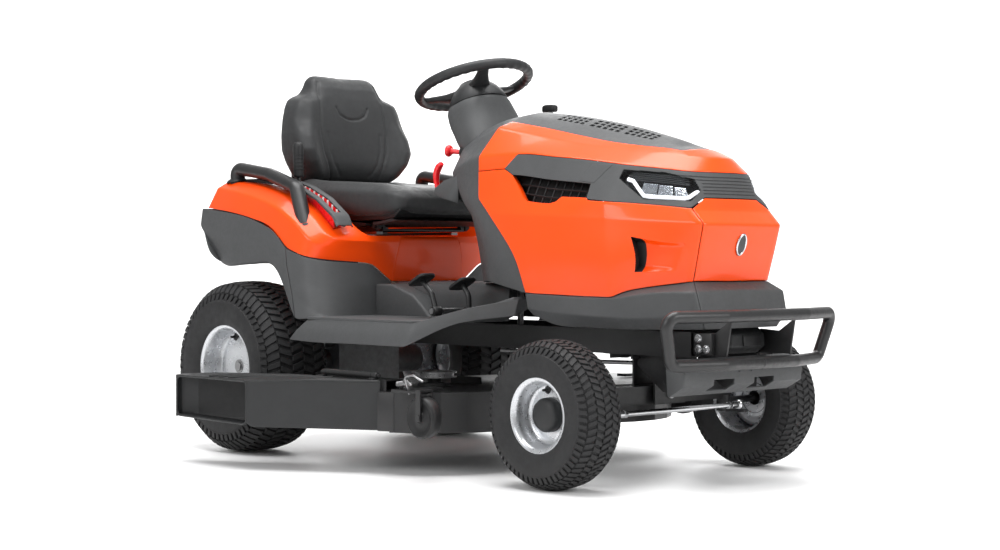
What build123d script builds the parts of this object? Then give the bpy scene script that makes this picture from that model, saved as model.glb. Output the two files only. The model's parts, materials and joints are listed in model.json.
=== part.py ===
from build123d import *
import os, math

# ---------------------------------------------------------------------------
# Riding lawn mower, millimetres.  +X forward, +Y the operator's left, +Z up.
# Shapes are laid out from the rear axle (x = 0), mid-plane (y = 0) and ground
# (z = 0), then every node is shifted by (SHIFT_X, SHIFT_Y) so that the origin
# is the centre of the footprint on the ground.
# ---------------------------------------------------------------------------
WHEELBASE = 1262.0
REAR_TYRE_R, REAR_TYRE_W, REAR_TRACK = 253.0, 230.0, 393.0     # 20x10-8
FRONT_TYRE_R, FRONT_TYRE_W, FRONT_TRACK = 188.0, 146.0, 395.0  # 15x6-6
REAR_RIM_R, FRONT_RIM_R = 110.0, 80.5
KINGPIN_Y = 268.0
RAIL_Y, RAIL_Z0, RAIL_Z1 = 150.0, 330.0, 394.0
SKIN = 3.5                       # moulded panel thickness
WHEEL_C = (546.0, 1079.0)        # steering wheel centre, x and z
WHEEL_TILT = 18.7                # degrees, wheel plane rises forward
WHEEL_R, WHEEL_TUBE = 163.0, 14.5
HOOD_PIVOT = (1520.0, 505.0)
DECK_Z0, DECK_Z1 = 115.0, 222.0  # deck raised for transport
LOBE_L, LOBE_R, LOBE_RAD = (715.0, 250.0), (655.0, -250.0), 285.0
BLADE_R = 249.0
CRANK_X = 1140.0
SECTOR_X = 832.0
SHIFT_X, SHIFT_Y = -690.5, 84.0

parts = {}


def V(p):
    return Vector(*p)


def box(x0, x1, y0, y1, z0, z1):
    return Pos((x0 + x1) / 2, (y0 + y1) / 2, (z0 + z1) / 2) * Box(abs(x1 - x0), abs(y1 - y0), abs(z1 - z0))


def cyl(p, d, r, h):
    # cylinder of radius r from point p along direction d, length h
    pl = Plane(origin=p, z_dir=d)
    return Solid.make_cylinder(r, h, pl)


def cone(p, d, r0, r1, h):
    return Solid.make_cone(r0, r1, h, Plane(origin=p, z_dir=d))


def ring(p, d, r_out, r_in, h):
    return cyl(p, d, r_out, h) - cyl(p, d, r_in, h)


def prism(pts, y0, y1):
    # polygon in XZ extruded from y0 to y1
    f = Face(Wire.make_polygon([Vector(x, y0, z) for x, z in pts], close=True))
    return Solid.extrude(f, Vector(0, y1 - y0, 0))


def slab(pts, z0, z1):
    # polygon in XY extruded from z0 to z1
    f = Face(Wire.make_polygon([Vector(x, y, z0) for x, y in pts], close=True))
    return Solid.extrude(f, Vector(0, 0, z1 - z0))


def pipe(pts, r, bend):
    if len(pts) == 2:
        a, b = V(pts[0]), V(pts[1])
        return cyl(pts[0], (b - a).normalized(), r, (b - a).length)
    path = FilletPolyline(*[V(p) for p in pts], radius=bend)
    w = path.wire() if hasattr(path, "wire") else path
    pl = Plane(origin=w @ 0, z_dir=w % 0)
    return sweep(pl * Circle(r), path=w)


def sub(a, b):
    return (a[0] - b[0], a[1] - b[1], a[2] - b[2])


def cross(a, b):
    return (a[1] * b[2] - a[2] * b[1], a[2] * b[0] - a[0] * b[2], a[0] * b[1] - a[1] * b[0])


def unit(a):
    n = math.sqrt(sum(c * c for c in a)) or 1.0
    return (a[0] / n, a[1] / n, a[2] / n)


class Sheet:
    # a surface of triangles with shared corners, given a thickness inwards
    def __init__(self):
        self.v, self.idx, self.t = [], {}, []

    def vid(self, p):
        k = (round(p[0], 3), round(p[1], 3), round(p[2], 3))
        if k not in self.idx:
            self.idx[k] = len(self.v)
            self.v.append(k)
        return self.idx[k]

    def quad(self, a, b, c, d, tag):
        ids = [self.vid(p) for p in (a, b, c, d)]
        for t in ((ids[0], ids[1], ids[2]), (ids[0], ids[2], ids[3])):
            if len(set(t)) == 3:
                self.t.append((t, tag))

    def grid(self, g, tagger, flip=False):
        for i in range(len(g) - 1):
            for j in range(len(g[0]) - 1):
                q = [g[i][j], g[i][j + 1], g[i + 1][j + 1], g[i + 1][j]]
                if flip:
                    q = q[::-1]
                self.quad(*q, tagger(i, j))

    def both(self, g, tagger):
        # right half (outward normals by order) and its mirror image
        self.grid(g, tagger)
        m = [[(p[0], -p[1], p[2]) for p in row] for row in g]
        self.grid(m, tagger, flip=True)

    def normals(self):
        n = [[0.0, 0.0, 0.0] for _ in self.v]
        for t, _ in self.t:
            a, b, c = (self.v[i] for i in t)
            w = unit(cross(sub(b, a), sub(c, a)))
            for i in t:
                for k in range(3):
                    n[i][k] += w[k]
        return [unit(x) for x in n]

    def pieces(self, tag):
        # triangles of one tag, grouped into patches joined along edges
        tri = [t for t, g in self.t if g == tag]
        by_edge = {}
        for n, t in enumerate(tri):
            for a, b in ((t[0], t[1]), (t[1], t[2]), (t[2], t[0])):
                by_edge.setdefault((min(a, b), max(a, b)), []).append(n)
        seen, out = set(), []
        for n in range(len(tri)):
            if n in seen:
                continue
            todo, grp = [n], []
            seen.add(n)
            while todo:
                k = todo.pop()
                grp.append(tri[k])
                t = tri[k]
                for a, b in ((t[0], t[1]), (t[1], t[2]), (t[2], t[0])):
                    for m in by_edge[(min(a, b), max(a, b))]:
                        if m not in seen:
                            seen.add(m)
                            todo.append(m)
            out.append(grp)
        return out

    def solids(self, tag, thick=SKIN):
        nn = self.normals()
        inner = [tuple(self.v[i][k] - nn[i][k] * thick for k in range(3)) for i in range(len(self.v))]
        out = []
        for tri in self.pieces(tag):
            faces, edges = [], {}
            for t in tri:
                faces.append([self.v[i] for i in t])
                faces.append([inner[i] for i in t][::-1])
                for a, b in ((t[0], t[1]), (t[1], t[2]), (t[2], t[0])):
                    if (b, a) in edges:
                        del edges[(b, a)]
                    else:
                        edges[(a, b)] = True
            for a, b in edges:
                # the same diagonal is used whichever side the rim is seen from
                if a < b:
                    faces.append([self.v[b], self.v[a], inner[a]])
                    faces.append([self.v[b], inner[a], inner[b]])
                else:
                    faces.append([self.v[b], self.v[a], inner[b]])
                    faces.append([self.v[a], inner[a], inner[b]])
            fs = [Face(Wire.make_polygon([V(p) for p in f], close=True)) for f in faces]
            out.append(Solid(Shell(fs)))
        return out

    def solid(self, tag, thick=SKIN):
        return self.solids(tag, thick)[0]


def keep(name, *shapes):
    sol = []
    for s in shapes:
        if isinstance(s, (list, tuple)):
            for q in s:
                sol.extend(q.solids())
        else:
            sol.extend(s.solids())
    parts[name] = sol


def mirror_y(s):
    return s.mirror(Plane.XZ)


# ---------------------------------------------------------------- hood shell
H = [
 [(1030,-266,487),(1060,-264,485),(1100,-262,484),(1200,-252,481),(1308,-240,479),(1365,-212,500),(1509,-154,521),(1507,-78,521),(1505,0,520)],
 [(985,-270,590),(1030,-270,590),(1100,-268,588),(1200,-260,586),(1303,-247,584),(1410,-208,588),(1528,-158,600),(1532,-80,602),(1532,0,602)],
 [(880,-258,696),(960,-262,692),(1080,-262,688),(1200,-254,684),(1296,-241,679),(1415,-206,672),(1544,-161,664),(1549,-80,664),(1550,0,664)],
 [(832,-250,738),(950,-248,740),(1080,-246,726),(1200,-243,720),(1285,-236,716),(1388,-200,709),(1510,-162,698),(1515,-80,699),(1516,0,699)],
 [(822,-240,852),(950,-214,857),(1080,-205,845),(1200,-192,832),(1300,-180,818),(1400,-152,806),(1460,-125,798),(1488,-70,796),(1497,0,796)],
 [(838,-180,934),(950,-166,911),(1080,-152,886),(1200,-140,868),(1300,-126,855),(1380,-108,846),(1440,-88,836),(1466,-45,834),(1474,0,834)],
 [(840,-129,952),(950,-122,932),(1080,-114,905),(1200,-114,882),(1300,-106,868),(1370,-90,860),(1407,-79,853),(1412,-40,858),(1414,0,860)],
 [(842,-66,974),(950,-62,958),(1080,-58,934),(1200,-58,908),(1300,-54,886),(1350,-48,874),(1375,-42,866),(1385,-20,866),(1390,0,866)],
 [(844,0,984),(950,0,972),(1080,0,950),(1200,0,924),(1300,0,897),(1340,0,885),(1360,0,877),(1372,0,872),(1380,0,870)],
]


def hood_tag(i, j):
    if i >= 6:
        return "inlay"
    if i == 3:
        if j == 0:
            return "shell_ledge_side"
        if j in (1, 2):
            return "intake"
        if j in (4, 5):
            return "lamp"
        return "band"
    zone = "side" if j < 4 else ("corner" if j < 6 else "nose")
    return "shell_" + ("low_" if i < 2 else ("ledge_" if i == 2 else "top_")) + zone


hood = Sheet()
hood.both(H, hood_tag)
hs = []
for tag in sorted({t for _, t in hood.t if t.startswith("shell")}):
    hs += hood.solids(tag)
# hinge ears inside the nose, one each side, reaching the pivot pins
px_, pz_ = HOOD_PIVOT
ears = []
for s in (-1, 1):
    y = s * 110
    e = prism([(1496, 560), (1504, 560), (1503, 522), (1512, 499), (1527, 499), (1527, 511), (1510, 520), (1514, 560), (1496, 575)], y - 3, y + 3)
    e = e - cyl((px_, y - 5, pz_), (0, 1, 0), 5.05, 10)
    ears.append(e)
keep("hood_shell", hs, ears)
keep("hood_top_inlay", hood.solids("inlay"))
keep("grille_band", hood.solids("band"))
keep("headlamps", hood.solids("lamp"))
# dark intake screens set back inside the two side openings
scr = []
for s in (-1, 1):
    scr += [box(958 + 33 * k, 963 + 33 * k, s * 172 - 3, s * 172 + 3, 742, 820) for k in range(8)]
    scr += [box(955, 1196, s * 172 - 3, s * 172 + 3, z, z + 5) for z in (738, 765, 792, 819)]
bars = []
for s in (-1, 1):
    g = scr[0:12] if s == -1 else scr[12:24]
    f = g[0]
    for q in g[1:]:
        f = f + q
    bars.append(f)
keep("side_intake_screens", bars)

# ---------------------------------------------------------------- dash tower
D = [
 [(1027,-263,485),(950,-262,500),(868,-250,515),(724,-120,507),(705,0,507)],
 [(982,-267,590),(915,-264,590),(850,-247,595),(704,-120,600),(680,0,600)],
 [(877,-255,696),(835,-252,692),(792,-236,690),(682,-120,690),(652,0,690)],
 [(829,-247,738),(785,-240,735),(738,-222,729),(668,-115,728),(638,0,728)],
 [(819,-237,852),(735,-216,838),(652,-188,812),(616,-100,812),(597,0,812)],
 [(835,-178,934),(740,-160,908),(628,-122,885),(588,-64,885),(575,0,885)],
 [(837,-128,952),(750,-112,945),(645,-80,925),(600,-44,925),(588,0,925)],
 [(839,-66,974),(770,-60,968),(690,-45,955),(645,-26,948),(632,0,946)],
 [(841,0,984),(780,0,978),(705,0,966),(668,0,956),(654,0,952)],
]
dash = Sheet()
dash.both([r[::-1] for r in D], lambda i, j: ("low" if i < 3 else ("mid" if i < 5 else "top")) + ("_back" if j < 2 else "_side"))
dt = []
for tag in sorted({t for _, t in dash.t}):
    dt += dash.solids(tag, 3.5)
ax = math.radians(WHEEL_TILT)
COL_D = (math.sin(ax), 0.0, -math.cos(ax))       # down along the column
COL_U = (-COL_D[0], 0.0, -COL_D[2])
hub = (WHEEL_C[0], 0.0, WHEEL_C[1])


def col_pt(s):
    return (hub[0] + COL_D[0] * s, 0.0, hub[2] + COL_D[2] * s)


# ---------------------------------------------------------------- grey lower hood skirt
K = [
 [(1048,-255,428),(1130,-252,404),(1240,-240,400),(1352,-205,397),(1450,-170,399),(1538,-150,401),(1538,-75,401),(1538,0,401)],
 [(1036,-264,445),(1130,-268,436),(1240,-262,430),(1360,-236,424),(1470,-204,430),(1550,-176,440),(1553,-80,446),(1554,0,448)],
 [(1031,-267,483),(1130,-266,480),(1240,-254,476),(1330,-242,476),(1440,-214,492),(1536,-180,494),(1540,-80,497),(1542,0,498)],
 [(1032,-263,485),(1100,-259,482),(1200,-250,479),(1308,-238,477),(1365,-210,498),(1507,-152,519),(1505,-78,519),(1503,0,518)],
]
sk = Sheet()
sk.both(K, lambda i, j: "side" if j < 3 else ("corner" if j < 5 else "nose"))
skirt = []
for tag in ("side", "corner", "nose"):
    for q in sk.solids(tag, 4):
        for s in (-1, 1):
            q = q - box(1485, 1549, s * 110 - 9, s * 110 + 9, 470, 540)
        skirt.append(q)
keep("hood_skirt", skirt)

# ---------------------------------------------------------------- rear body
F = [
 [(-178,-425,726),(-60,-432,712),(60,-434,690),(147,-433,662),(221,-432,603),(300,-415,578),(342,-216,560),(346,-142,507)],
 [(-140,-418,785),(-40,-424,772),(60,-425,752),(161,-428,722),(240,-426,682),(315,-404,618),(350,-222,600),(352,-130,580)],
 [(-128,-385,806),(-40,-385,800),(60,-385,783),(170,-385,752),(262,-382,700),(330,-370,640),(356,-226,622),(356,-120,622)],
 [(-125,-268,812),(-40,-268,808),(60,-268,790),(170,-268,762),(250,-264,722),(318,-258,668),(350,-235,640),(350,-110,640)],
 [(-130,-245,640),(-40,-245,640),(60,-245,639),(170,-245,636),(240,-242,634),(290,-236,634),(325,-210,638),(335,-100,638)],
 [(-130,0,640),(-40,0,640),(60,0,639),(170,0,636),(240,0,634),(290,0,634),(325,0,638),(335,0,638)],
]
fen = Sheet()
fen.both(F, lambda i, j: ("out" if i < 2 else ("top" if i == 2 else ("in" if i == 3 else "floor"))) + ("_a" if j < 3 else ("_b" if j < 5 else "_c")))
front_wall = Sheet()
keep_f = []
for tag in sorted({t for _, t in fen.t}):
    keep_f += fen.solids(tag, 3.5)
# the upright front wall of the seat base between the two halves
FW = [
 [(346,-142,507),(352,-130,580),(356,-120,622),(350,-110,640),(335,-100,638)],
 [(348,0,507),(354,0,580),(358,0,622),(352,0,640),(335,0,638)],
]
fw = Sheet()
fw.both([list(c) for c in zip(*FW)], lambda i, j: "wall")
pedestal_wall = fw.solid("wall", 3.5)

# grey lower side covers, outboard of and ahead of the rear tyres
G = [
 [(-205,-425,724),(-60,-435,709),(60,-437,687),(147,-436,659),(221,-435,600),(300,-418,575),(340,-219,557),(344,-146,504)],
 [(-212,-428,672),(-90,-440,655),(60,-441,635),(150,-441,610),(232,-440,560),(318,-420,500),(352,-225,500),(352,-150,470)],
 [(-105,-425,560),(-69,-432,555),(60,-436,562),(150,-436,560),(262,-442,470),(345,-425,420),(360,-230,410),(358,-154,410)],
 [(-100,-415,556),(-65,-425,552),(60,-430,558),(155,-430,556),(285,-450,400),(352,-430,404),(362,-232,404),(360,-156,404)],
]
gs = Sheet()
gs.both(G[::-1], lambda i, j: ("lip" if i == 0 else "wall") + ("_a" if j < 3 else ("_b" if j < 5 else "_c")))
side_cov = []
for tag in sorted({t for _, t in gs.t}):
    side_cov += gs.solids(tag, 3.5)
# rear cover closes the back between the two side covers
RC = [
 [(-205,-425,724),(-212,-428,672),(-105,-425,560),(-100,-415,556)],
 [(-216,-250,726),(-222,-250,672),(-150,-250,560),(-145,-250,556)],
 [(-220,0,727),(-226,0,672),(-155,0,560),(-150,0,556)],
]
rc = Sheet()
rc.both([r[::-1] for r in RC], lambda i, j: "rear")
rcov = rc.solid("rear", 3.5)
keep("lower_covers", side_cov, rcov)
RF = [
 [(-125,-268,812),(-128,-385,806),(-140,-418,785),(-178,-425,726)],
 [(-140,-240,812),(-145,-240,806),(-160,-240,785),(-184,-240,728)],
 [(-150,0,812),(-155,0,806),(-168,0,785),(-188,0,729)],
]
HANDLE = [(-105, -372, 790), (-125, -372, 852), (60, -372, 825), (196, -378, 782), (256, -392, 666)]
hr = pipe(HANDLE, 16.5, 24)
hcut = pipe(HANDLE, 17.0, 24)
fd = []
for q in keep_f:
    q = q - hcut - mirror_y(hcut) - box(112, 316, -338, -309, 600, 860)
    fd.append(q)
for k, q in enumerate(fd):
    if q.volume < 0:
        # a panel that came out of the cuts inside out is taken from its twin on the other side
        c = q.bounding_box()
        for t in fd:
            b = t.bounding_box()
            if t.volume > 0 and abs(b.min.Y + c.max.Y) < 1.5 and abs(b.max.X - c.max.X) < 1.5 and abs(b.min.X - c.min.X) < 1.5 and abs(b.max.Z - c.max.Z) < 1.5:
                fd[k] = mirror_y(t)
# the panels round the lift lever's slot are parted along the slot's four sides
SLOT_X0, SLOT_X1, SLOT_Y0, SLOT_Y1 = 112, 316, -338, -309
FAR = 3000
parted = []
for q in fd:
    c = q.bounding_box()
    if c.max.X <= SLOT_X0 or c.min.X >= SLOT_X1 or c.max.Y <= SLOT_Y0 or c.min.Y >= SLOT_Y1:
        parted.append(q)
        continue
    for cell in (box(-FAR, FAR, -FAR, SLOT_Y0, -FAR, FAR), box(-FAR, FAR, SLOT_Y1, FAR, -FAR, FAR), box(-FAR, SLOT_X0, SLOT_Y0, SLOT_Y1, -FAR, FAR), box(SLOT_X1, FAR, SLOT_Y0, SLOT_Y1, -FAR, FAR)):
        r = q & cell
        if r is not None:
            parted += [t for t in r.solids() if t.volume > 20]
keep("rear_fender", parted, pedestal_wall)

# ---------------------------------------------------------------- footrests
fr = []
for s in (1, -1):
    base = [(362, -152, 380), (362, -470, 380)]
    P = prism([(364, 392), (364, 402), (842, 402), (960, 446), (1010, 468), (1010, 458), (962, 436), (846, 392)], -470, -166)
    cut = slab([(800, -520), (1040, -270), (1040, -520)], 300, 500)
    P = P - cut
    lip = Sheet()
    L = [[(302,-486,345),(377,-490,342),(803,-490,342),(905,-405,402),(1010,-285,425)],
         [(362,-470,400),(400,-470,401),(822,-478,402),(925,-391,440),(1015,-276,467)]]
    lip.grid(L, lambda i, j: "l")
    lp = lip.solid("l", 3)
    if s == 1:
        P, lp = mirror_y(P), mirror_y(lp)
    fr.append((P, lp))
# low tunnel over the frame between seat base and dash
tun = [box(362, 850, -148, 148, 500, 503), box(362, 850, -148, -145, 404, 499.95), box(362, 850, 145, 148, 404, 499.95)]
keep("footwell", tun, [fr[0][0], fr[1][0], fr[0][1], fr[1][1]])

# ---------------------------------------------------------------- chassis
fr_parts = []
for s in (-1, 1):
    y = s * RAIL_Y
    fr_parts += [box(-190, 1500, y - 2, y + 2, RAIL_Z0, RAIL_Z1), box(-190, 1500, y - s * 2.05, y - s * 30, RAIL_Z1 - 4, RAIL_Z1), box(-190, 1500, y - s * 2.05, y - s * 30, RAIL_Z0, RAIL_Z0 + 4)]
for x in (-188, 480, 1486):
    fr_parts.append(box(x, x + 5, -RAIL_Y + 30.05, RAIL_Y - 30.05, 346, RAIL_Z1))
    for s in (-1, 1):
        fr_parts.append(box(x, x + 5, s * (RAIL_Y - 30), s * (RAIL_Y - 2.05), 346, RAIL_Z1 - 4.05))
# engine plate between the rails, open round the crankshaft
fr_parts += [box(1010, 1095, -119.9, 119.9, RAIL_Z1 - 4, RAIL_Z1), box(1185, 1330, -119.9, 119.9, RAIL_Z1 - 4, RAIL_Z1)]
fr_parts += [box(1095.05, 1184.95, s * 45, s * 119.9, RAIL_Z1 - 4, RAIL_Z1) for s in (-1, 1)]
# drop plates for the front axle pivot
for x in (1222, 1296):
    p = box(x, x + 6, -60, 60, 196, 317.9) - cyl((1200, 0, 222), (1, 0, 0), 12.0, 120)
    fr_parts += [p, box(x, x + 6, -RAIL_Y + 2.05, RAIL_Y - 2.05, 318, 329.95)]

hitch = box(-250, -188.05, -60, 60, 300, 306) + box(-194, -188.05, -90, 90, 300, 396)
hitch = hitch - cyl((-226, 0, 290), (0, 0, 1), 9.0, 30)
keep("frame", fr_parts, hitch)

# engine
eb = box(1045, 1330, -115, 115, RAIL_Z1, 520) + cyl((CRANK_X, 0, 500), (0, 0, 1), 105, 90)
eb = eb + box(1250, 1400, -150, -20, 430, 540) + box(1250, 1400, 20, 150, 430, 540)
for k in range(6):
    eb = eb + box(1340 + 12 * k, 1345 + 12 * k, -165, -10, 425, 550) + box(1340 + 12 * k, 1345 + 12 * k, 10, 165, 425, 550)
eb = eb - cyl((CRANK_X, 0, 380), (0, 0, 1), 16, 260)
sh = cyl((CRANK_X, 0, 592), (0, 0, 1), 150, 88) - cyl((CRANK_X, 0, 591), (0, 0, 1), 146, 85) - cyl((CRANK_X, 0, 670), (0, 0, 1), 95, 20)
keep("engine_covers", sh, box(1350, 1440, -90, 90, 600, 680))
mf = cyl((1452, -120, 470), (0, 1, 0), 38, 240) + cyl((1415, -60, 470), (1, 0, 0), 12, 20) + cyl((1415, 60, 470), (1, 0, 0), 12, 20)
keep("engine_block", eb, mf)
crank = cyl((CRANK_X, 0, 322), (0, 0, 1), 12, 318)
cp = cyl((CRANK_X, 0, 322), (0, 0, 1), 58, 26) - ring((CRANK_X, 0, 329), (0, 0, 1), 60, 50.2, 12)
fan = cyl((CRANK_X, 0, 612), (0, 0, 1), 60, 8)
for k in range(12):
    fan = fan + Pos(CRANK_X, 0, 0) * Rot(0, 0, 30 * k) * box(40, 130, -2, 2, 612, 642)
fan = fan + cyl((CRANK_X, 0, 618), (0, 0, 1), 88, 4) - cyl((CRANK_X, 0, 600), (0, 0, 1), 12, 70)
keep("crankshaft", cyl((CRANK_X, 0, 310), (0, 0, 1), 12, 348) + cp, fan)
keep("battery", box(-20, 150, -100, 80, 500, 615) + box(0, 20, -85, -65, 615, 624) + box(0, 20, 45, 65, 615, 624))
tank = box(160, 320, -130, 130, 420, 600)
tank = fillet(tank.edges().filter_by(Axis.Z), 25)
keep("fuel_tank", tank + cyl((240, 95, 598), (0, 0, 1), 28, 22))

# transaxle, its input pulley and belt
ta = box(-75, 75, -120, 120, 190, 315) + cyl((0, -250, 253), (0, 1, 0), 42, 500) + box(-40, 40, -148, -100, 300, RAIL_Z0) + box(-40, 40, 100, 148, 300, RAIL_Z0)
ta = ta - cyl((0, -260, 253), (0, 1, 0), 13.05, 520) - cyl((0, 0, 288), (0, 0, 1), 10.05, 60)
keep("transaxle", ta)
tp = cyl((0, 0, 289), (0, 0, 1), 10, 62) + (cyl((0, 0, 326), (0, 0, 1), 58, 22) - ring((0, 0, 330), (0, 0, 1), 60, 50.2, 14))
keep("transaxle_pulley", tp)
belt = slab([(0, -55), (CRANK_X, -55), (CRANK_X, 55), (0, 55)], 331, 339)
belt = box(0, CRANK_X, -57, 57, 331, 339) + cyl((0, 0, 331), (0, 0, 1), 57, 8) + cyl((CRANK_X, 0, 331), (0, 0, 1), 57, 8)
belt = belt - (box(0, CRANK_X, -50.5, 50.5, 330, 340) + cyl((0, 0, 330), (0, 0, 1), 50.5, 10) + cyl((CRANK_X, 0, 330), (0, 0, 1), 50.5, 10))
keep("drive_belt", belt)


# ---------------------------------------------------------------- wheels
def tyre(cx, cy, cz, R, W, rr, blocks, depth):
    w = W / 2
    prof = [(rr, -w + 18), (rr + 11.5, -w + 18), (rr + 13, -w + 8), (rr + 30, -w + 1), (R - 55, -w), (R - 22, -w + 10), (R, -w + 26),
            (R, w - 26), (R - 22, w - 10), (R - 55, w), (rr + 30, w - 1), (rr + 13, w - 8), (rr + 11.5, w - 18), (rr, w - 18)]
    f = Face(Wire.make_polygon([Vector(r, 0, y) for r, y in prof], close=True))
    t = Solid.revolve(f, 360, Axis.Z)
    t = t.rotate(Axis.X, -90)
    lug = []
    n = blocks
    for k in range(n):
        for q, y0 in enumerate((-w + 30, -w * 0.28, w * 0.28, w - 30)):
            a = 360 / n * (k + (0.5 if q % 2 else 0))
            b = Box(depth + 1.6, W * 0.15, 2 * math.pi * R / n * 0.62)
            lug.append(Pos(cx, cy + y0, cz) * Rot(0, a, 0) * Pos(R - (depth + 1.6) / 2 - 1.0, 0, 0) * b)
    return Pos(cx, cy, cz) * t, lug


def rim(cx, cy, cz, rr, W, side, off, bore):
    # side +1: outer face to +Y; the disc sits off millimetres inboard of the lip
    w = W / 2 - 12
    r = rr - 0.4
    prof = [(r + 11, w + 2), (r + 11, w - 3), (r, w - 4), (r, -w + 4), (r + 11, -w + 3), (r + 11, -w - 2), (r - 5, -w - 2), (r - 5, w - off - 4), (bore + 22, w - off - 12),
            (bore + 20, w - off + 2), (r - 16, w - off + 8), (r - 5, w + 2)]
    prof = [(r - 4, w + 2), (r + 10, w + 2), (r + 10, w - 2), (r, w - 3), (r, -w + 3), (r + 10, -w + 2), (r + 10, -w - 2), (r - 4, -w - 2),
            (r - 4, w - off - 14), (bore, w - off - 14), (bore, w - off - 8), (r - 10, w - off - 8)]
    f = Face(Wire.make_polygon([Vector(a, 0, y) for a, y in prof], close=True))
    t = Solid.revolve(f, 360, Axis.Z)
    t = t.rotate(Axis.X, -90 if side > 0 else 90)
    return Pos(cx, cy, cz) * t


for nm, s in (("left", 1), ("right", -1)):
    # rear
    t, lugs = tyre(0, s * REAR_TRACK, REAR_TYRE_R, REAR_TYRE_R, REAR_TYRE_W, REAR_RIM_R + 0.2, 24, 9)
    keep("rear_tyre_" + nm, t)
    rm = rim(0, s * REAR_TRACK, REAR_TYRE_R, REAR_RIM_R, REAR_TYRE_W, s, 55, 13.0)
    shaft = cyl((0, s * 132, REAR_TYRE_R), (0, s, 0), 13.0, REAR_TRACK - 132 + 52)
    keep("rear_rim_" + nm, rm + shaft)
    # front
    t, lugs = tyre(WHEELBASE, s * FRONT_TRACK, FRONT_TYRE_R, FRONT_TYRE_R, FRONT_TYRE_W, FRONT_RIM_R + 0.2, 24, 7)
    keep("front_tyre_" + nm, t)
    rm = rim(WHEELBASE, s * FRONT_TRACK, FRONT_TYRE_R, FRONT_RIM_R, FRONT_TYRE_W, s, 30, 20.0)
    hubt = ring((WHEELBASE, s * (FRONT_TRACK - 40), FRONT_TYRE_R), (0, s, 0), 21, 10.05, 66)
    cap = cyl((WHEELBASE, s * (FRONT_TRACK + 27), FRONT_TYRE_R), (0, s, 0), 26, 14) - cyl((WHEELBASE, s * (FRONT_TRACK + 26), FRONT_TYRE_R), (0, s, 0), 21.0, 9)
    keep("front_rim_" + nm, rm + hubt, cap)

# ---------------------------------------------------------------- front axle and steering
ab = prism([(1240, 196), (1284, 196), (1284, 244), (1240, 244)], -238, 238)
for s in (-1, 1):
    ab = ab + box(1240, 1284, s * 236, s * 262, 206, 256) + cyl((WHEELBASE, s * KINGPIN_Y, 206), (0, 0, 1), 22, 50)
    ab = ab - cyl((WHEELBASE, s * KINGPIN_Y, 200), (0, 0, 1), 11.05, 60)
ab = ab - cyl((1230, 0, 222), (1, 0, 0), 12.05, 64)
ab = ab - box(1230, 1239.9, -300, 300, 190, 260)
keep("front_axle_beam", ab)
pin = cyl((1216, 0, 222), (1, 0, 0), 12.0, 92) + cyl((1210, 0, 222), (1, 0, 0), 18, 6)
for nm, s in (("left", 1), ("right", -1)):
    y = s * KINGPIN_Y
    sp = cyl((WHEELBASE, y, 162), (0, 0, 1), 11, 104) + cyl((WHEELBASE, y, 160), (0, 0, 1), 19, 44)
    sp = sp + cyl((WHEELBASE, y, 188), (0, s, 0), 10, FRONT_TRACK - KINGPIN_Y + 26)
    sp = sp + box(1262, 1340, y - 9, y + 9, 160, 168) + cyl((1330, y, 160), (0, 0, 1), 11, 8)
    sp = sp + cyl((WHEELBASE, y, 258), (0, 0, 1), 17, 6)
    if s == 1:
        sp = sp + box(1252, 1272, y - 66, y, 257, 262)
    keep("spindle_" + nm, sp)
tr = cyl((1330, -KINGPIN_Y + 10, 182), (0, 1, 0), 7, 2 * KINGPIN_Y - 20)
for s in (-1, 1):
    tr = tr + Pos(1330, s * KINGPIN_Y, 182) * Sphere(11) + cyl((1330, s * (KINGPIN_Y - 8), 182), (0, -s, 0), 9.5, 34)
keep("tie_rod", tr)
SEC_Y = 0.0
sec = slab([(SECTOR_X - 14, SEC_Y + 68), (SECTOR_X + 14, SEC_Y + 68), (SECTOR_X + 14, SEC_Y), (SECTOR_X - 14, SEC_Y)], 268, 276)
arcp = slab([(SECTOR_X, SEC_Y), (SECTOR_X - 66, SEC_Y - 42), (SECTOR_X - 76, SEC_Y - 20), (SECTOR_X - 78, SEC_Y), (SECTOR_X - 76, SEC_Y + 20), (SECTOR_X - 66, SEC_Y + 42)], 268, 276)
sec = sec + arcp + cyl((SECTOR_X, SEC_Y, 264), (0, 0, 1), 20, 16)
sec = sec - cyl((SECTOR_X, SEC_Y, 255), (0, 0, 1), 9.05, 40)
keep("sector_gear", sec)
sector_stud = cyl((SECTOR_X, SEC_Y, 256), (0, 0, 1), 9.0, 62) + cyl((SECTOR_X, SEC_Y, 252), (0, 0, 1), 14, 8) + box(SECTOR_X - 20, SECTOR_X + 20, -RAIL_Y + 2, RAIL_Y - 2, 318, 324)
dv = (WHEELBASE - SECTOR_X, KINGPIN_Y - 60 - (SEC_Y + 60), 0)
du = unit(dv)
dl = math.hypot(dv[0], dv[1])
dr = cyl((SECTOR_X + du[0] * 8, SEC_Y + 60 + du[1] * 8, 287), du, 6, dl - 16)
for p in ((SECTOR_X, SEC_Y + 60), (WHEELBASE, KINGPIN_Y - 60)):
    dr = dr + cyl((p[0], p[1], 280), (0, 0, 1), 12, 14)
keep("drag_link", dr)

# column: tilted shaft, universal joint, upright pinion shaft
keep("steering_shaft", cyl(col_pt(18), COL_D, 9.0, 570))
pinx = SECTOR_X - 78 - 12.0
keep("pinion_shaft", cyl((pinx, 0, 262), (0, 0, 1), 9.0, 236) + cyl((pinx, 0, 266), (0, 0, 1), 11.5, 12))
tube = Solid.make_cylinder(16, 450, Plane(origin=col_pt(120), z_dir=COL_D)) - Solid.make_cylinder(9.05, 480, Plane(origin=col_pt(118), z_dir=COL_D))
cb = cone(col_pt(52), COL_D, 44, 74, 78) - cyl(col_pt(40), COL_D, 20, 140)
keep("steering_column", tube, cb)
dt = [q - cyl(col_pt(100), COL_D, 40, 110) - box(738, 792, 86, 106, 930, 990) for q in dt]
keep("dash_tower", dt)

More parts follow.
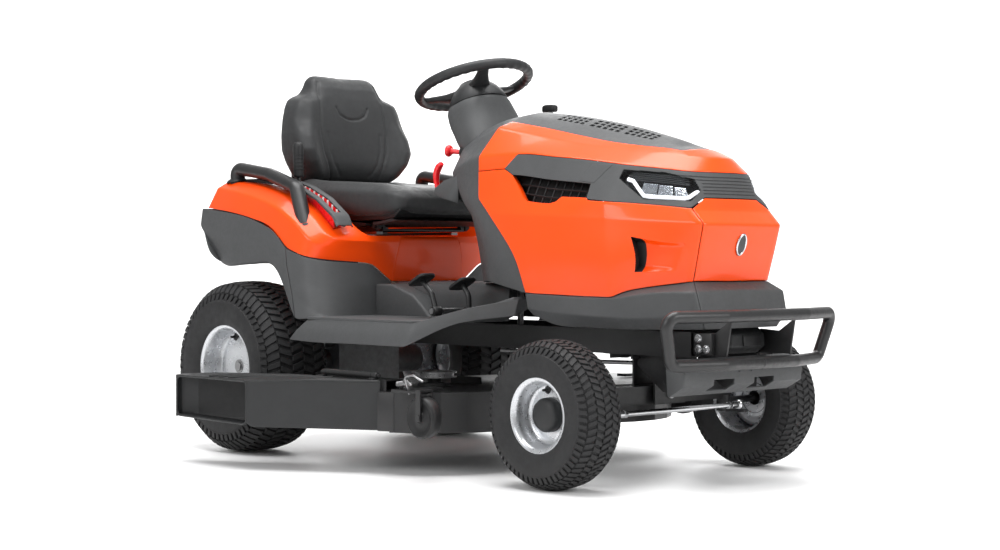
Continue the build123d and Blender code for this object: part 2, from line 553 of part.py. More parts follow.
# steering wheel
wt = Solid.make_torus(WHEEL_R, WHEEL_TUBE, Plane(origin=hub, z_dir=COL_U))
hubc = Solid.make_cone(46, 36, 36, Plane(origin=col_pt(34), z_dir=COL_U))
sw = wt + hubc
for a in (90, 210, 330):
    u = (math.cos(ax), 0.0, math.sin(ax))
    d = tuple(math.cos(math.radians(a)) * (0, 1, 0)[k] * 1.0 + 0 for k in range(3))
    ca, sa = math.cos(math.radians(a)), math.sin(math.radians(a))
    dirv = (-ca * 0 + sa * u[0] * -1, ca, -sa * u[2])
    dirv = unit((-sa * u[0], ca, -sa * u[2]))
    sw = sw + cyl(col_pt(14), dirv, 11, WHEEL_R)
sw = sw - cyl(col_pt(40), COL_U, 9.0, 22)
keep("steering_wheel", sw)

# ---------------------------------------------------------------- bumper
bump = []
top = [(1572, -335, 436), (1618, -150, 436), (1618, 150, 436), (1572, 335, 436)]
bot = [(1556, -262, 316), (1596, -120, 316), (1596, 120, 316), (1556, 262, 316)]
ringp = [(1595, 0, 436), (1595, 0, 436)]
t1 = pipe([(1618, 0, 436), (1618, 160, 436), (1574, 335, 436), (1556, 295, 316), (1600, 140, 316), (1600, 0, 316)], 16, 26)
t2 = mirror_y(t1)
br = []
for s in (-1, 1):
    w = prism([(1500, 334), (1500, 396), (1560, 392), (1600, 418), (1596, 334), (1560, 334)], s * 128 - 3, s * 128 + 3)
    w = w + box(1503, 1560, s * 128, s * 146, 338, 392)
    br.append(w)
keep("front_guard", [t1 + t2], br)
val = prism([(1496, 240), (1500, 236), (1548, 262), (1552, 300), (1504, 328), (1491.2, 328), (1491.2, 300)], -235, 235)
val = val - prism([(1480, 244), (1496, 244), (1542, 266), (1546, 298), (1500, 322), (1480, 322)], -231, 231)
for y in (-120, 40):
    val = val - box(1500, 1560, y, y + 80, 246, 276)
keep("front_valance", val)

# ---------------------------------------------------------------- seat
seat_rail = [box(-60, 300, q * 150 - 12, q * 150 + 12, 645, 653) for q in (-1, 1)]
sf = box(-70, 330, -162, -150, 655, 667) + box(-70, 330, 150, 162, 655, 667) + box(318, 330, -162, 162, 655, 667) + box(-70, -58, -162, 162, 655, 667)
sf = sf + cyl((318, -190, 668), (0, 1, 0), 6.0, 380) - box(300, 336, -149.9, 149.9, 660, 690)
for q in (-1, 1):
    sf = sf + box(312, 324, q * 150, q * 162, 655, 674)
keep("seat_slide_frame", sf)
pan = prism([(-70, 672), (-70, 700), (320, 676), (420, 690), (440, 684), (330, 670)], -205, 205) + prism([(-74, 690), (-124, 760), (-134, 1040), (-126, 1040), (-116, 765), (-76, 702), (-60, 695), (-60, 685)], -150, 150)
for q in (-1, 1):
    ear = box(306, 330, q * 168, q * 180, 660, 682) + cyl((318, q * 168, 668), (0, q, 0), 12, 12)
    pan = pan - box(300, 336, q * 146, q * 205, 655, 677) - cyl((318, q * 140, 668), (0, q, 0), 13, 70)
    pan = pan + (ear - cyl((318, q * 160, 668), (0, q, 0), 6.05, 30))
keep("seat_pan", pan)
cush = prism([(-70, 704), (-70, 800), (40, 806), (300, 790), (430, 776), (476, 752), (470, 716), (420, 700), (325, 688)], -238, 238)
keep("seat_cushion", cush)
bk = prism([(-74, 804), (-108, 820), (-118, 1120), (-100, 1150), (-60, 1150), (-30, 1100), (-10, 930), (10, 822), (10, 808)], -225, 225)
bk = bk - prism([(-200, 1075), (-200, 1200), (50, 1200), (50, 1075)], -240, -140) - prism([(-200, 1075), (-200, 1200), (50, 1200), (50, 1075)], 140, 240)
keep("seat_back", bk)

# ---------------------------------------------------------------- grab handles, console, levers
keep("grab_handles", hr, mirror_y(hr))
con = prism([(-120, 812), (-118, 819), (60, 800), (170, 772), (255, 736), (330, 686), (352, 652), (340, 652), (322, 678), (250, 722), (168, 759), (58, 787), (-118, 807)], -350, -296)
con = con - box(110, 322, -336, -312, 600, 900)
con = con.translate(Vector(0, 0, 9))
keep("quadrant_console", con)
lv = prism([(132, 560), (150, 560), (143, 830), (128, 830)], -328, -320)
lv = lv + cyl((141, -330, 570), (0, 1, 0), 14, 12)
lv = lv - cyl((141, -340, 570), (0, 1, 0), 6.05, 30)
gp = cyl((136, -324, 815), (-0.03, 0, 1), 15, 100)
gp = gp - box(120, 155, -328, -320, 800, 830.2)
keep("lift_lever", lv, gp)
lift_pin = (cyl((141, -338, 570), (0, 1, 0), 6.0, 24) + box(120, 162, -318, -314, 556, 640) + box(120, 162, -318, -250, 636, 640))

# ---------------------------------------------------------------- cutting deck
def deck_outline(o):
    # two lobes joined by straight flanks, seen from above, o millimetres inside the outer edge
    r = LOBE_RAD - o
    pts = []
    for k in range(13):
        a = math.radians(-40 + 190 * k / 12)
        pts.append((LOBE_L[0] + r * math.cos(a), LOBE_L[1] + r * math.sin(a)))
    for k in range(13):
        a = math.radians(180 + 170 * k / 12)
        pts.append((LOBE_R[0] + r * math.cos(a), LOBE_R[1] + r * math.sin(a)))
    return pts


do_, di_ = deck_outline(0), deck_outline(3)
top = slab(do_, DECK_Z1 - 3, DECK_Z1)
for c in (LOBE_L, LOBE_R):
    top = top - cyl((c[0], c[1], DECK_Z1 - 10), (0, 0, 1), 20, 20)
top = top - box(470, 735, -600, -503.5, 210, 230)
walls = []
nd = len(do_)
for k in range(nd):
    k2 = (k + 1) % nd
    (ax0, ay0), (bx0, by0) = do_[k], do_[k2]
    if min(ay0, by0) < -470 and 470 < (ax0 + bx0) / 2 < 760:
        continue                                     # the discharge mouth
    w = slab([do_[k], do_[k2], di_[k2], di_[k]], DECK_Z0, DECK_Z1 - 3.05)
    walls.append(w)
hump = [box(440, 740, -497, -443, DECK_Z1 + 27, DECK_Z1 + 30), box(440, 740, -500, -497.05, DECK_Z1 + 0.05, DECK_Z1 + 30), box(440, 740, -442.95, -440, DECK_Z1 + 0.05, DECK_Z1 + 30)]
dk = [top] + walls + hump
for s, lb in ((1, LOBE_L), (-1, LOBE_R)):
    dk.append(box(lb[0] - 60, lb[0] + 60, s * 130 - 3, s * 130 + 3, DECK_Z1 + 0.05, DECK_Z1 + 20))
hsg, spd = [], []
for nm, c in (("left", LOBE_L), ("right", LOBE_R)):
    h = cyl((c[0], c[1], DECK_Z1), (0, 0, 1), 48, 8) + cyl((c[0], c[1], DECK_Z1 - 40), (0, 0, 1), 19.5, 60)
    h = h - cyl((c[0], c[1], DECK_Z1 - 50), (0, 0, 1), 10.05, 90)
    hsg.append(h)
    a = 0 if nm == "left" else 90
    b = Pos(c[0], c[1], 150) * Rot(0, 0, 35 + a) * (box(-BLADE_R, BLADE_R, -28, 28, -3, 3))
    b = b - cyl((c[0], c[1], 140), (0, 0, 1), 10, 20)
    spn = cyl((c[0], c[1], 138), (0, 0, 1), 10, 124) + (cyl((c[0], c[1], 245), (0, 0, 1), 62, 16) - ring((c[0], c[1], 248), (0, 0, 1), 64, 54.2, 10))
    spn = spn + cyl((c[0], c[1], 154), (0, 0, 1), 18, 12)
    keep("blade_" + nm, b, spn)
keep("deck_shell", dk, hsg)

# discharge chute, hinged on the deck edge
CH_Y, CH_Z = -506.0, 262.0
top_poly = [(728, -508), (404, -712), (70, -712), (70, -690), (318, -522), (330, -508)]


def chute_z(x, y):
    return 256 - (-y - 506) * 0.06


def loop(poly, z):
    return [(x, y, z) for x, y in poly]


ct = slab(top_poly, 246, 250)
cw = slab([(728, -508), (404, -712), (400, -709), (722, -506)], 118, 248)
cr = slab([(70, -712), (70, -690), (318, -522), (322, -526), (74, -694), (74, -712)], 200, 248)
hinge_ear = box(480, 500, -520, -500, 246, 256) + box(690, 710, -520, -500, 246, 256) + cyl((480, -503, 262), (1, 0, 0), 9, 20) + cyl((690, -503, 262), (1, 0, 0), 9, 20)
ch = ct + cw + cr + hinge_ear
ch = ch - cyl((470, -503, 262), (1, 0, 0), 5.05, 260)
keep("discharge_chute", ch)
parts["deck_shell"] += cyl((501, -503, 262), (1, 0, 0), 9, 188).solids()
hp = cyl((472, -503, 262), (1, 0, 0), 5.0, 246)
parts["deck_shell"] = [q for q in parts["deck_shell"]]
pin_deck = hp + cyl((500.5, -503, 262), (1, 0, 0), 9, 189) + box(520, 670, -503, -494, 246, 262) + box(520, 670, -500, -494, 224, 262)
parts["deck_shell"] = parts["deck_shell"][:-1] + pin_deck.solids()

# gauge wheels at the front corners of the deck
for nm, s in (("right", -1), ("left", 1)):
    gx, gy, gz = (944, -545, 168) if s < 0 else (905, 520, 168)
    w = ring((gx, gy - 17, gz), (0, 1, 0), 54, 8.05, 34)
    keep("gauge_wheel_" + nm, w)
    b = box(gx - 9, gx + 9, gy + s * 20 - 2, gy + s * 20 + 2, gz - 10, gz + 70)
    b = b + box(gx - 9, gx + 9, gy - s * 20 - 2, gy - s * 20 + 2, gz - 10, gz + 70) + box(gx - 9, gx + 9, gy - 22, gy + 22, gz + 66, gz + 72)
    b = b + cyl((gx, gy - 24, gz), (0, 1, 0), 8.0, 48)
    b = b + box(gx - 100, gx - 5, gy - s * 6 - 15, gy - s * 6 + 15, gz + 60, gz + 66) + box(gx - 130, gx - 95, gy - s * 150, gy, gz + 58, gz + 66)
    parts["deck_shell"] += b.solids()

# pedals: forward and reverse on the right, brake on the left
def pedal(x, y, z, tilt, w, l):
    p = Pos(x, y, z) * Rot(0, tilt, 0) * (Box(l, w, 8))
    return p


pv_y = 30
for nm, x, y, z, px0, pz0 in (("forward", 640, -285, 516, 700, 430), ("reverse", 762, -245, 506, 790, 430), ("brake", 700, 285, 520, 760, 430)):
    s = 1 if y > 0 else -1
    pad = Pos(x, y, z) * Rot(0, -28, 0) * Box(62, 62, 8)
    a, b = Vector(x + 6, y, z - 6), Vector(px0, y, pz0)
    arm = Solid.make_cylinder(8, (b - a).length, Plane(origin=a, z_dir=(b - a).normalized()))
    hubp = cyl((px0, y - s * 14, pz0), (0, s, 0), 13, 28)
    pd = pad + arm + hubp - cyl((px0, y - 60, pz0), (0, 1, 0), 8.05, 120)
    keep("pedal_" + nm, pd)
ped_pins = []
for x, y in ((700, -285), (790, -245), (760, 285)):
    s = 1 if y > 0 else -1
    ped_pins.append(cyl((x, s * 150, 430), (0, s, 0), 8.0, abs(y) - 150 + 18))

# controls on the dash
keep("blade_knob", cyl((590, -120, 880), unit((-1, -0.35, 0.12)), 17, 22) + cyl((612, -112, 877), unit((-1, -0.35, 0.12)), 7, 28))
rl = prism([(600, 760), (586, 790), (592, 830), (612, 842), (618, 834), (606, 820), (602, 792), (612, 768)], -196, -184)
rl = rl + cyl((606, -196, 764), (0, 1, 0), 9, 12) - cyl((606, -200, 764), (0, 1, 0), 4.05, 20)
park_pin = cyl((606, -200, 764), (0, 1, 0), 4.0, 26)
keep("parking_lever", rl)
tl = cyl((767, 96, 925), (0, 0, 1), 6, 69) + Pos(762, 96, 1004) * Box(52, 24, 20)
tl = tl + cyl((767, 90, 925), (0, 1, 0), 10, 12) - cyl((767, 80, 925), (0, 1, 0), 3.05, 40)
throttle_pin = cyl((767, 84, 925), (0, 1, 0), 3.0, 24)
keep("throttle_lever", tl)
ky = cyl((590, 80, 890), unit((-1, 0, 0.1)), 6, 20) + Pos(566, 80, 892) * Box(16, 4, 26)
keep("ignition_key", ky)

keep("fittings", ped_pins, seat_rail, lift_pin, pin, sector_stud, park_pin, throttle_pin)

os.makedirs("parts", exist_ok=True)
for f in os.listdir("parts"):
    if f.endswith(".step") and f[:-5] not in parts:
        os.remove(os.path.join("parts", f))
lo, hi = [1e9] * 3, [-1e9] * 3
for name, sol in parts.items():
    shp = sol[0] if len(sol) == 1 else Compound(children=list(sol))
    shp = shp.translate(Vector(SHIFT_X, SHIFT_Y, 0))
    b = shp.bounding_box()
    for k, (a, c) in enumerate(((b.min.X, b.max.X), (b.min.Y, b.max.Y), (b.min.Z, b.max.Z))):
        lo[k], hi[k] = min(lo[k], a), max(hi[k], c)
    export_step(shp, "parts/%s.step" % name)
print(len(parts), "nodes; box", [round(v, 2) for v in lo], [round(v, 2) for v in hi])
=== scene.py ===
import bpy, bmesh, math
import numpy as np
from mathutils import Matrix, Vector
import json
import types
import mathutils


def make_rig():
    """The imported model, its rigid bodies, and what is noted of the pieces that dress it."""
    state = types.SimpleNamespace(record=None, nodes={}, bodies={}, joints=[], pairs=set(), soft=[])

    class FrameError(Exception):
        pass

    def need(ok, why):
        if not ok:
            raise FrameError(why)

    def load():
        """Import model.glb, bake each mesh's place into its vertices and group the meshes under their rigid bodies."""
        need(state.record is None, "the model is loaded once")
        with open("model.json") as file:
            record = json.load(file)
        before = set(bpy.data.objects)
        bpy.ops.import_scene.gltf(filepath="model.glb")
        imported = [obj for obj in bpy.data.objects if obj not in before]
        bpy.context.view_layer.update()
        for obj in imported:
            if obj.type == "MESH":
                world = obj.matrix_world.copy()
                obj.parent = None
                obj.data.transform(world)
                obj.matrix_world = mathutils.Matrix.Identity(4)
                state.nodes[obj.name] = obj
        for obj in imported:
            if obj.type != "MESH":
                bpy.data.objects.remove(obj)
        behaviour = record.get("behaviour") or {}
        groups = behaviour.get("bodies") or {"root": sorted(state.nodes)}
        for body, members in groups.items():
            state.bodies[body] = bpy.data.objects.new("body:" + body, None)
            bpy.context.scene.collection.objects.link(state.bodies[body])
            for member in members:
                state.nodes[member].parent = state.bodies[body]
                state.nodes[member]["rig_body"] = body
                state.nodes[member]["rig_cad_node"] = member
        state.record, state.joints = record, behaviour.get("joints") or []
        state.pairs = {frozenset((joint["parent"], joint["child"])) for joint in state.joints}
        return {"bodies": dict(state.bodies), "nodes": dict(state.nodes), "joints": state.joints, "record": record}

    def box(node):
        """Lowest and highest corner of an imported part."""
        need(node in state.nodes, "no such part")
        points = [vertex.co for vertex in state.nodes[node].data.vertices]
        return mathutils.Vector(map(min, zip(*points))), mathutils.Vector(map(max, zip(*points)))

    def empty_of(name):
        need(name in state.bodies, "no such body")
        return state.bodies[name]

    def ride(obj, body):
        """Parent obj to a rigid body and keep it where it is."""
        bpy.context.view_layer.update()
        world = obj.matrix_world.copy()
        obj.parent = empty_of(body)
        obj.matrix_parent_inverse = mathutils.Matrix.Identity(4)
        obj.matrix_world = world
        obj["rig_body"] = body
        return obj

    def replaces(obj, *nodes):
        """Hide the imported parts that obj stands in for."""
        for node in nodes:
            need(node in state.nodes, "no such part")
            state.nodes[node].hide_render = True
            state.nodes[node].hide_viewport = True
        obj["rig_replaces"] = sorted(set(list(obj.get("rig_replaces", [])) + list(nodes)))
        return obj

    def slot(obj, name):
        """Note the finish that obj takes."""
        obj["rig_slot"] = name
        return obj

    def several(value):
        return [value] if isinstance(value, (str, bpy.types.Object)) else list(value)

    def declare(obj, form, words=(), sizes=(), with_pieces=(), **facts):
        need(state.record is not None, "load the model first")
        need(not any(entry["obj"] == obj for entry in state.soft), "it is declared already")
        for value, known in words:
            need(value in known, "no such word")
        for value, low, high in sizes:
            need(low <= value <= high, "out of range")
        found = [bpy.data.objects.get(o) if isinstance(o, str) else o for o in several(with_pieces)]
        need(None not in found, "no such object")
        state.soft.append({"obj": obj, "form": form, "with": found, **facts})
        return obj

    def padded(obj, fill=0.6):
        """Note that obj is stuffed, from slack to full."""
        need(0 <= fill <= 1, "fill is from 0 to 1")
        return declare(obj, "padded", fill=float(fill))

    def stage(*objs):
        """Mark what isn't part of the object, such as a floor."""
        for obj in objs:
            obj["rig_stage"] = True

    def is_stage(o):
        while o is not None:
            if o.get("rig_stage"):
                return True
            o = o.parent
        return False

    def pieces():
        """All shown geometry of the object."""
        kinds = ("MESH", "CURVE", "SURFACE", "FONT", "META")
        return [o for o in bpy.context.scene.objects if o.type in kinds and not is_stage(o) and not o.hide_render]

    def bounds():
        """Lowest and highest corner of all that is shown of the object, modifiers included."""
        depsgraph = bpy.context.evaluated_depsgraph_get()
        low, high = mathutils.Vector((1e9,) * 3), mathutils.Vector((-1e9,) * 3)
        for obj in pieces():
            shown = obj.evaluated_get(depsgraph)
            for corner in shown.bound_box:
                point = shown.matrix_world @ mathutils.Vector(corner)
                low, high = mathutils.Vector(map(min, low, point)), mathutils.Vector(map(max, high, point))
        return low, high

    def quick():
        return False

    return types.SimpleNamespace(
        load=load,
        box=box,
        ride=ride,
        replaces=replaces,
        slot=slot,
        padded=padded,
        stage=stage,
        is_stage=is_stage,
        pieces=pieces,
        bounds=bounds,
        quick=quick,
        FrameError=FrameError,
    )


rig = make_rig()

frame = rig.load()
CAD_LO, CAD_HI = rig.bounds()
CADBOX = [list(CAD_LO), list(CAD_HI)]

# ---------------------------------------------------------------------------
# Shapes are laid out in millimetres from the rear axle (x), mid-plane (y) and
# ground (z); OX, OY bring them into the frame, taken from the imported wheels.
# ---------------------------------------------------------------------------
_a, _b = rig.box("rear_tyre_left"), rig.box("rear_tyre_right")
OX = (_a[0].x + _a[1].x) / 2
OY = (_a[0].y + _b[1].y) / 2
OFF = np.array([OX, OY, 0.0])


def m(p):
    return np.asarray(p, float) / 1000.0 + OFF


def unit(v):
    v = np.asarray(v, float)
    return v / max(np.linalg.norm(v), 1e-12)


# ------------------------------------------------------------------ geometry collector
class Geo:
    def __init__(s):
        s.V, s.F, s.M, s.n = [], [], [], 0

    def add(s, V, F, mat=0):
        V = np.asarray(V, float).reshape(-1, 3)
        s.V.append(V)
        s.F += [tuple(int(i) + s.n for i in f) for f in F]
        s.M += [mat] * len(F) if np.isscalar(mat) else list(mat)
        s.n += len(V)
        return s

    def join(s, g, mat=None):
        for V in g.V:
            s.V.append(V)
        s.F += [tuple(i + s.n for i in f) for f in g.F]
        s.M += g.M if mat is None else [mat] * len(g.F)
        s.n += g.n
        return s

    def verts(s):
        return np.concatenate(s.V) if s.V else np.zeros((0, 3))

    def moved(s, R=None, t=(0, 0, 0)):
        V = s.verts()
        if R is not None:
            V = V @ np.asarray(R, float).T
        g = Geo()
        return g.add(V + np.asarray(t, float), s.F, list(s.M))

    def mirrored(s):
        g = Geo()
        return g.add(s.verts() * [1, -1, 1], [f[::-1] for f in s.F], list(s.M))

    def both(s):
        g = Geo()
        g.join(s)
        g.join(s.mirrored())
        return g


def grid_faces(nr, nc, wrap_r=False, wrap_c=False):
    F = []
    for i in range(nr if wrap_r else nr - 1):
        for j in range(nc if wrap_c else nc - 1):
            a, b = i * nc + j, i * nc + (j + 1) % nc
            i2 = (i + 1) % nr
            F.append((a, b, i2 * nc + (j + 1) % nc, i2 * nc + j))
    return F


def rot_axis(axis, deg):
    a, t = unit(axis), math.radians(deg)
    K = np.array([[0, -a[2], a[1]], [a[2], 0, -a[0]], [-a[1], a[0], 0]])
    return np.eye(3) + math.sin(t) * K + (1 - math.cos(t)) * K @ K


def basis_from(d):
    d = unit(d)
    h = np.array([0, 0, 1.0]) if abs(d[2]) < 0.9 else np.array([1.0, 0, 0])
    x = unit(np.cross(h, d))
    return x, np.cross(d, x), d


def lathe(pts, n=64, c=(0, 0, 0), d=(0, 0, 1), a0=0.0, a1=360.0):
    # pts: (radius, distance along d); closed profile if the last point repeats the first
    x, y, z = basis_from(d)
    pts = list(pts)
    closed = np.allclose(pts[0], pts[-1]) and len(pts) > 2
    if closed:
        pts = pts[:-1]
    full = abs(a1 - a0 - 360) < 1e-6
    ang = np.radians(np.linspace(a0, a1, n + (0 if full else 1), endpoint=not full))
    V, c = [], np.asarray(c, float)
    for r, h in pts:
        for t in ang:
            V.append(c + x * (r * math.cos(t)) + y * (r * math.sin(t)) + z * h)
    g = Geo()
    return g.add(V, [f[::-1] for f in grid_faces(len(pts), len(ang), closed, full)])


def disc_cap(g, pts, c, d):
    return g


def cyl(p, d, r, h, n=32, r1=None, e=0.0):
    # closed cylinder or cone with small chamfers e
    r1 = r if r1 is None else r1
    prof = [(0.001, 0), (r - e, 0), (r, e), (r1, h - e), (r1 - e, h), (0.001, h)] if e else [(0.001, 0), (r, 0), (r1, h), (0.001, h)]
    return lathe(prof, n, p, d)


def boxg(x0, x1, y0, y1, z0, z1):
    V = [(x, y, z) for z in (z0, z1) for y in (y0, y1) for x in (x0, x1)]
    F = [(0, 2, 3, 1), (4, 5, 7, 6), (0, 1, 5, 4), (2, 6, 7, 3), (0, 4, 6, 2), (1, 3, 7, 5)]
    return Geo().add(V, F)


def prismg(pts, y0, y1, axis="y"):
    # polygon (x, z) between y0 and y1, or (x, y) between z0 and z1, or (y, z) between x0 and x1
    n = len(pts)

    def q(p, h):
        return {"y": (p[0], h, p[1]), "z": (p[0], p[1], h), "x": (h, p[0], p[1])}[axis]

    V = [q(p, y0) for p in pts] + [q(p, y1) for p in pts]
    F = [tuple(range(n)), tuple(range(2 * n - 1, n - 1, -1))]
    F += [(i, i + n, (i + 1) % n + n, (i + 1) % n) for i in range(n)]
    return Geo().add(V, F)


def fillet_path(pts, bend, step=6.0, closed=False):
    pts = [np.asarray(p, float) for p in pts]
    out, n = [], len(pts)
    for i, p in enumerate(pts):
        if not closed and i in (0, n - 1):
            out.append(p)
            continue
        a, b = pts[i - 1], pts[(i + 1) % n]
        u, v = unit(a - p), unit(b - p)
        ang = math.acos(max(-1, min(1, float(u @ v))))
        if ang > math.pi - 0.02:
            out.append(p)
            continue
        bd = bend[i] if isinstance(bend, (list, tuple)) else bend
        t = min(bd / math.tan(ang / 2), 0.48 * np.linalg.norm(a - p), 0.48 * np.linalg.norm(b - p))
        r = t * math.tan(ang / 2)
        w = unit(u + v)
        c = p + w * (r / math.sin(ang / 2))
        s0, s1 = p + u * t - c, p + v * t - c
        k = max(3, int(r * (math.pi - ang) / step) + 2)
        om = math.acos(max(-1, min(1, float(unit(s0) @ unit(s1)))))
        for q in np.linspace(0, 1, k):
            if om < 1e-6:
                out.append(c + s0)
            else:
                out.append(c + (math.sin((1 - q) * om) * s0 + math.sin(q * om) * s1) / math.sin(om))
    return out


def dense(path, step):
    out = [path[0]]
    for a, b in zip(path[:-1], path[1:]):
        k = max(1, int(np.linalg.norm(b - a) / step))
        out += [a + (b - a) * (i + 1) / k for i in range(k)]
    return out


def tube(path, r, n=20, caps="round", closed=False, section=None, up=None):
    # round tube, or a given section [(a, b)...] swept along the path; r may be a function of 0..1
    path = [np.asarray(p, float) for p in path]
    N = len(path)
    T = []
    for i in range(N):
        a = path[i - 1] if (i > 0 or closed) else path[i]
        b = path[(i + 1) % N] if (i < N - 1 or closed) else path[i]
        T.append(unit(b - a))
    x = basis_from(T[0])[0] if up is None else unit(np.cross(np.asarray(up, float), T[0]))
    L = np.concatenate([[0], np.cumsum([np.linalg.norm(b - a) for a, b in zip(path[:-1], path[1:])])])
    rings = []
    fr = []
    for i in range(N):
        x = unit(x - T[i] * (x @ T[i]))
        y = np.cross(T[i], x)
        fr.append((x, y))
    if closed and up is None:
        pass
    rr = [r(L[i] / L[-1]) if callable(r) else r for i in range(N)]
    if section is None:
        an = np.linspace(0, 2 * math.pi, n, endpoint=False)
        sec = [(math.cos(t), math.sin(t)) for t in an]
    else:
        sec = section
    ns = len(sec)

    def ringpts(c, f, k):
        return [c + f[0] * (a * k) + f[1] * (b * k) for a, b in sec]

    if caps == "round" and not closed:
        for q in (0.05, 0.35, 0.7):
            k = rr[0] * math.sin(q * math.pi / 2) if section is None else rr[0] * (0.4 + 0.6 * q)
            rings.append(ringpts(path[0] - T[0] * rr[0] * (math.cos(q * math.pi / 2) - 1) * -1 * 0 - T[0] * (rr[0] * (math.cos(q * math.pi / 2)) if section is None else 0) , fr[0], k))
    elif caps == "flat" and not closed:
        rings.append(ringpts(path[0], fr[0], 0.001))
        rings.append(ringpts(path[0], fr[0], rr[0] * 0.9))
    for i in range(N):
        rings.append(ringpts(path[i], fr[i], rr[i]))
    if caps == "round" and not closed:
        for q in (0.7, 0.35, 0.05):
            k = rr[-1] * math.sin(q * math.pi / 2) if section is None else rr[-1] * (0.4 + 0.6 * q)
            rings.append(ringpts(path[-1] + T[-1] * (rr[-1] * math.cos(q * math.pi / 2) if section is None else 0), fr[-1], k))
    elif caps == "flat" and not closed:
        rings.append(ringpts(path[-1], fr[-1], rr[-1] * 0.9))
        rings.append(ringpts(path[-1], fr[-1], 0.001))
    V = [p for rg in rings for p in rg]
    F = [f for f in grid_faces(len(rings), ns, closed, True)]
    g = Geo().add(V, F)
    if not closed:
        nr = len(rings)
        g.F.append(tuple(range(ns))[::-1])
        g.F.append(tuple((nr - 1) * ns + k for k in range(ns)))
        g.M += [0, 0]
    return g


# ------------------------------------------------------------------ smooth panel surfaces
class Surf:
    # smooth sheet through a grid of points: cubic between the points, with creases at the sharp rows and
    # columns, every crease rounded over ru / rv millimetres; gu, gv: the last row / column lies on the mid-plane
    def __init__(s, P, su=(), sv=(), ru=5.0, rv=5.0, gu=False, gv=False, flip=False):
        P = np.array(P, float)
        s.nu, s.nv = P.shape[0], P.shape[1]
        k = np.array([1, -1, 1.0])
        if gu:
            P = np.concatenate([P, P[-2:-4:-1] * k], 0)
        if gv:
            P = np.concatenate([P, P[:, -2:-4:-1] * k], 1)
        s.P = P
        s.tu = np.concatenate([[0], np.cumsum(np.maximum(np.linalg.norm(np.diff(P, axis=0), axis=2).mean(1), 1e-3))])
        s.tv = np.concatenate([[0], np.cumsum(np.maximum(np.linalg.norm(np.diff(P, axis=1), axis=2).mean(0), 1e-3))])
        s.su, s.sv, s.ru, s.rv, s.gu, s.gv = set(su), set(sv), ru, rv, gu, gv
        s.sg = -1.0 if flip else 1.0

    @staticmethod
    def _w(t, sharp, x):
        n = len(t)
        W = np.zeros((len(x), n))
        k = np.clip(np.searchsorted(t, x, "right") - 1, 0, n - 2)
        h = t[k + 1] - t[k]
        a = (x - t[k]) / h
        r = np.arange(len(x))
        np.add.at(W, (r, k), 2 * a**3 - 3 * a**2 + 1)
        np.add.at(W, (r, k + 1), -2 * a**3 + 3 * a**2)

        def slope(i, seg, c):
            one = (i <= 0) | (i >= n - 1) | np.isin(i, list(sharp))
            hs = t[seg + 1] - t[seg]
            q = np.where(one)[0]
            np.add.at(W, (q, seg[q] + 1), c[q] / hs[q])
            np.add.at(W, (q, seg[q]), -c[q] / hs[q])
            q = np.where(~one)[0]
            if len(q):
                i0 = i[q]
                hl, hr = t[i0] - t[i0 - 1], t[i0 + 1] - t[i0]
                wl, wr = hr / (hl + hr), hl / (hl + hr)
                np.add.at(W, (q, i0), c[q] * (wl / hl - wr / hr))
                np.add.at(W, (q, i0 - 1), -c[q] * wl / hl)
                np.add.at(W, (q, i0 + 1), c[q] * wr / hr)

        slope(k, k, (a**3 - 2 * a**2 + a) * h)
        slope(k + 1, k, (a**3 - a**2) * h)
        return W

    def _basis(s, idx, t, sharp, r, last, ghost):
        x = np.interp(idx, np.arange(len(t)), t)
        end = t[-1] if ghost else t[last]
        room = np.maximum(np.minimum(np.minimum(x - t[0], end - x), r), 0)
        W = 0
        for d, w in ((-1, 0.12), (-0.5, 0.24), (0, 0.28), (0.5, 0.24), (1, 0.12)):
            W = W + w * s._w(t, sharp, x + d * room)
        return W

    def at(s, U, V):
        U, V = np.asarray(U, float), np.asarray(V, float)
        sh = U.shape
        Bu = s._basis(U.ravel(), s.tu, s.su, s.ru, s.nu - 1, s.gu)
        Bv = s._basis(V.ravel(), s.tv, s.sv, s.rv, s.nv - 1, s.gv)
        T = np.einsum("na,abc->nbc", Bu, s.P)
        return np.einsum("nbc,nb->nc", T, Bv).reshape(sh + (3,))

    def normal(s, U, V):
        e = 0.004
        lu, lv = s.nu - 1, s.nv - 1
        du = s.at(np.minimum(U + e, lu), V) - s.at(np.maximum(U - e, 0), V)
        dv = s.at(U, np.minimum(V + e, lv)) - s.at(U, np.maximum(V - e, 0))
        n = np.cross(dv, du) * s.sg
        return n / np.maximum(np.linalg.norm(n, axis=-1, keepdims=True), 1e-9)

    def mm(s, idx, d, axis):
        t = s.tu if axis == 0 else s.tv
        return float(np.interp(np.interp(idx, np.arange(len(t)), t) + d, t, np.arange(len(t))))

    def point(s, u, v, off=0.0):
        U, V = np.array([u]), np.array([v])
        return (s.at(U, V) + s.normal(U, V) * off)[0]


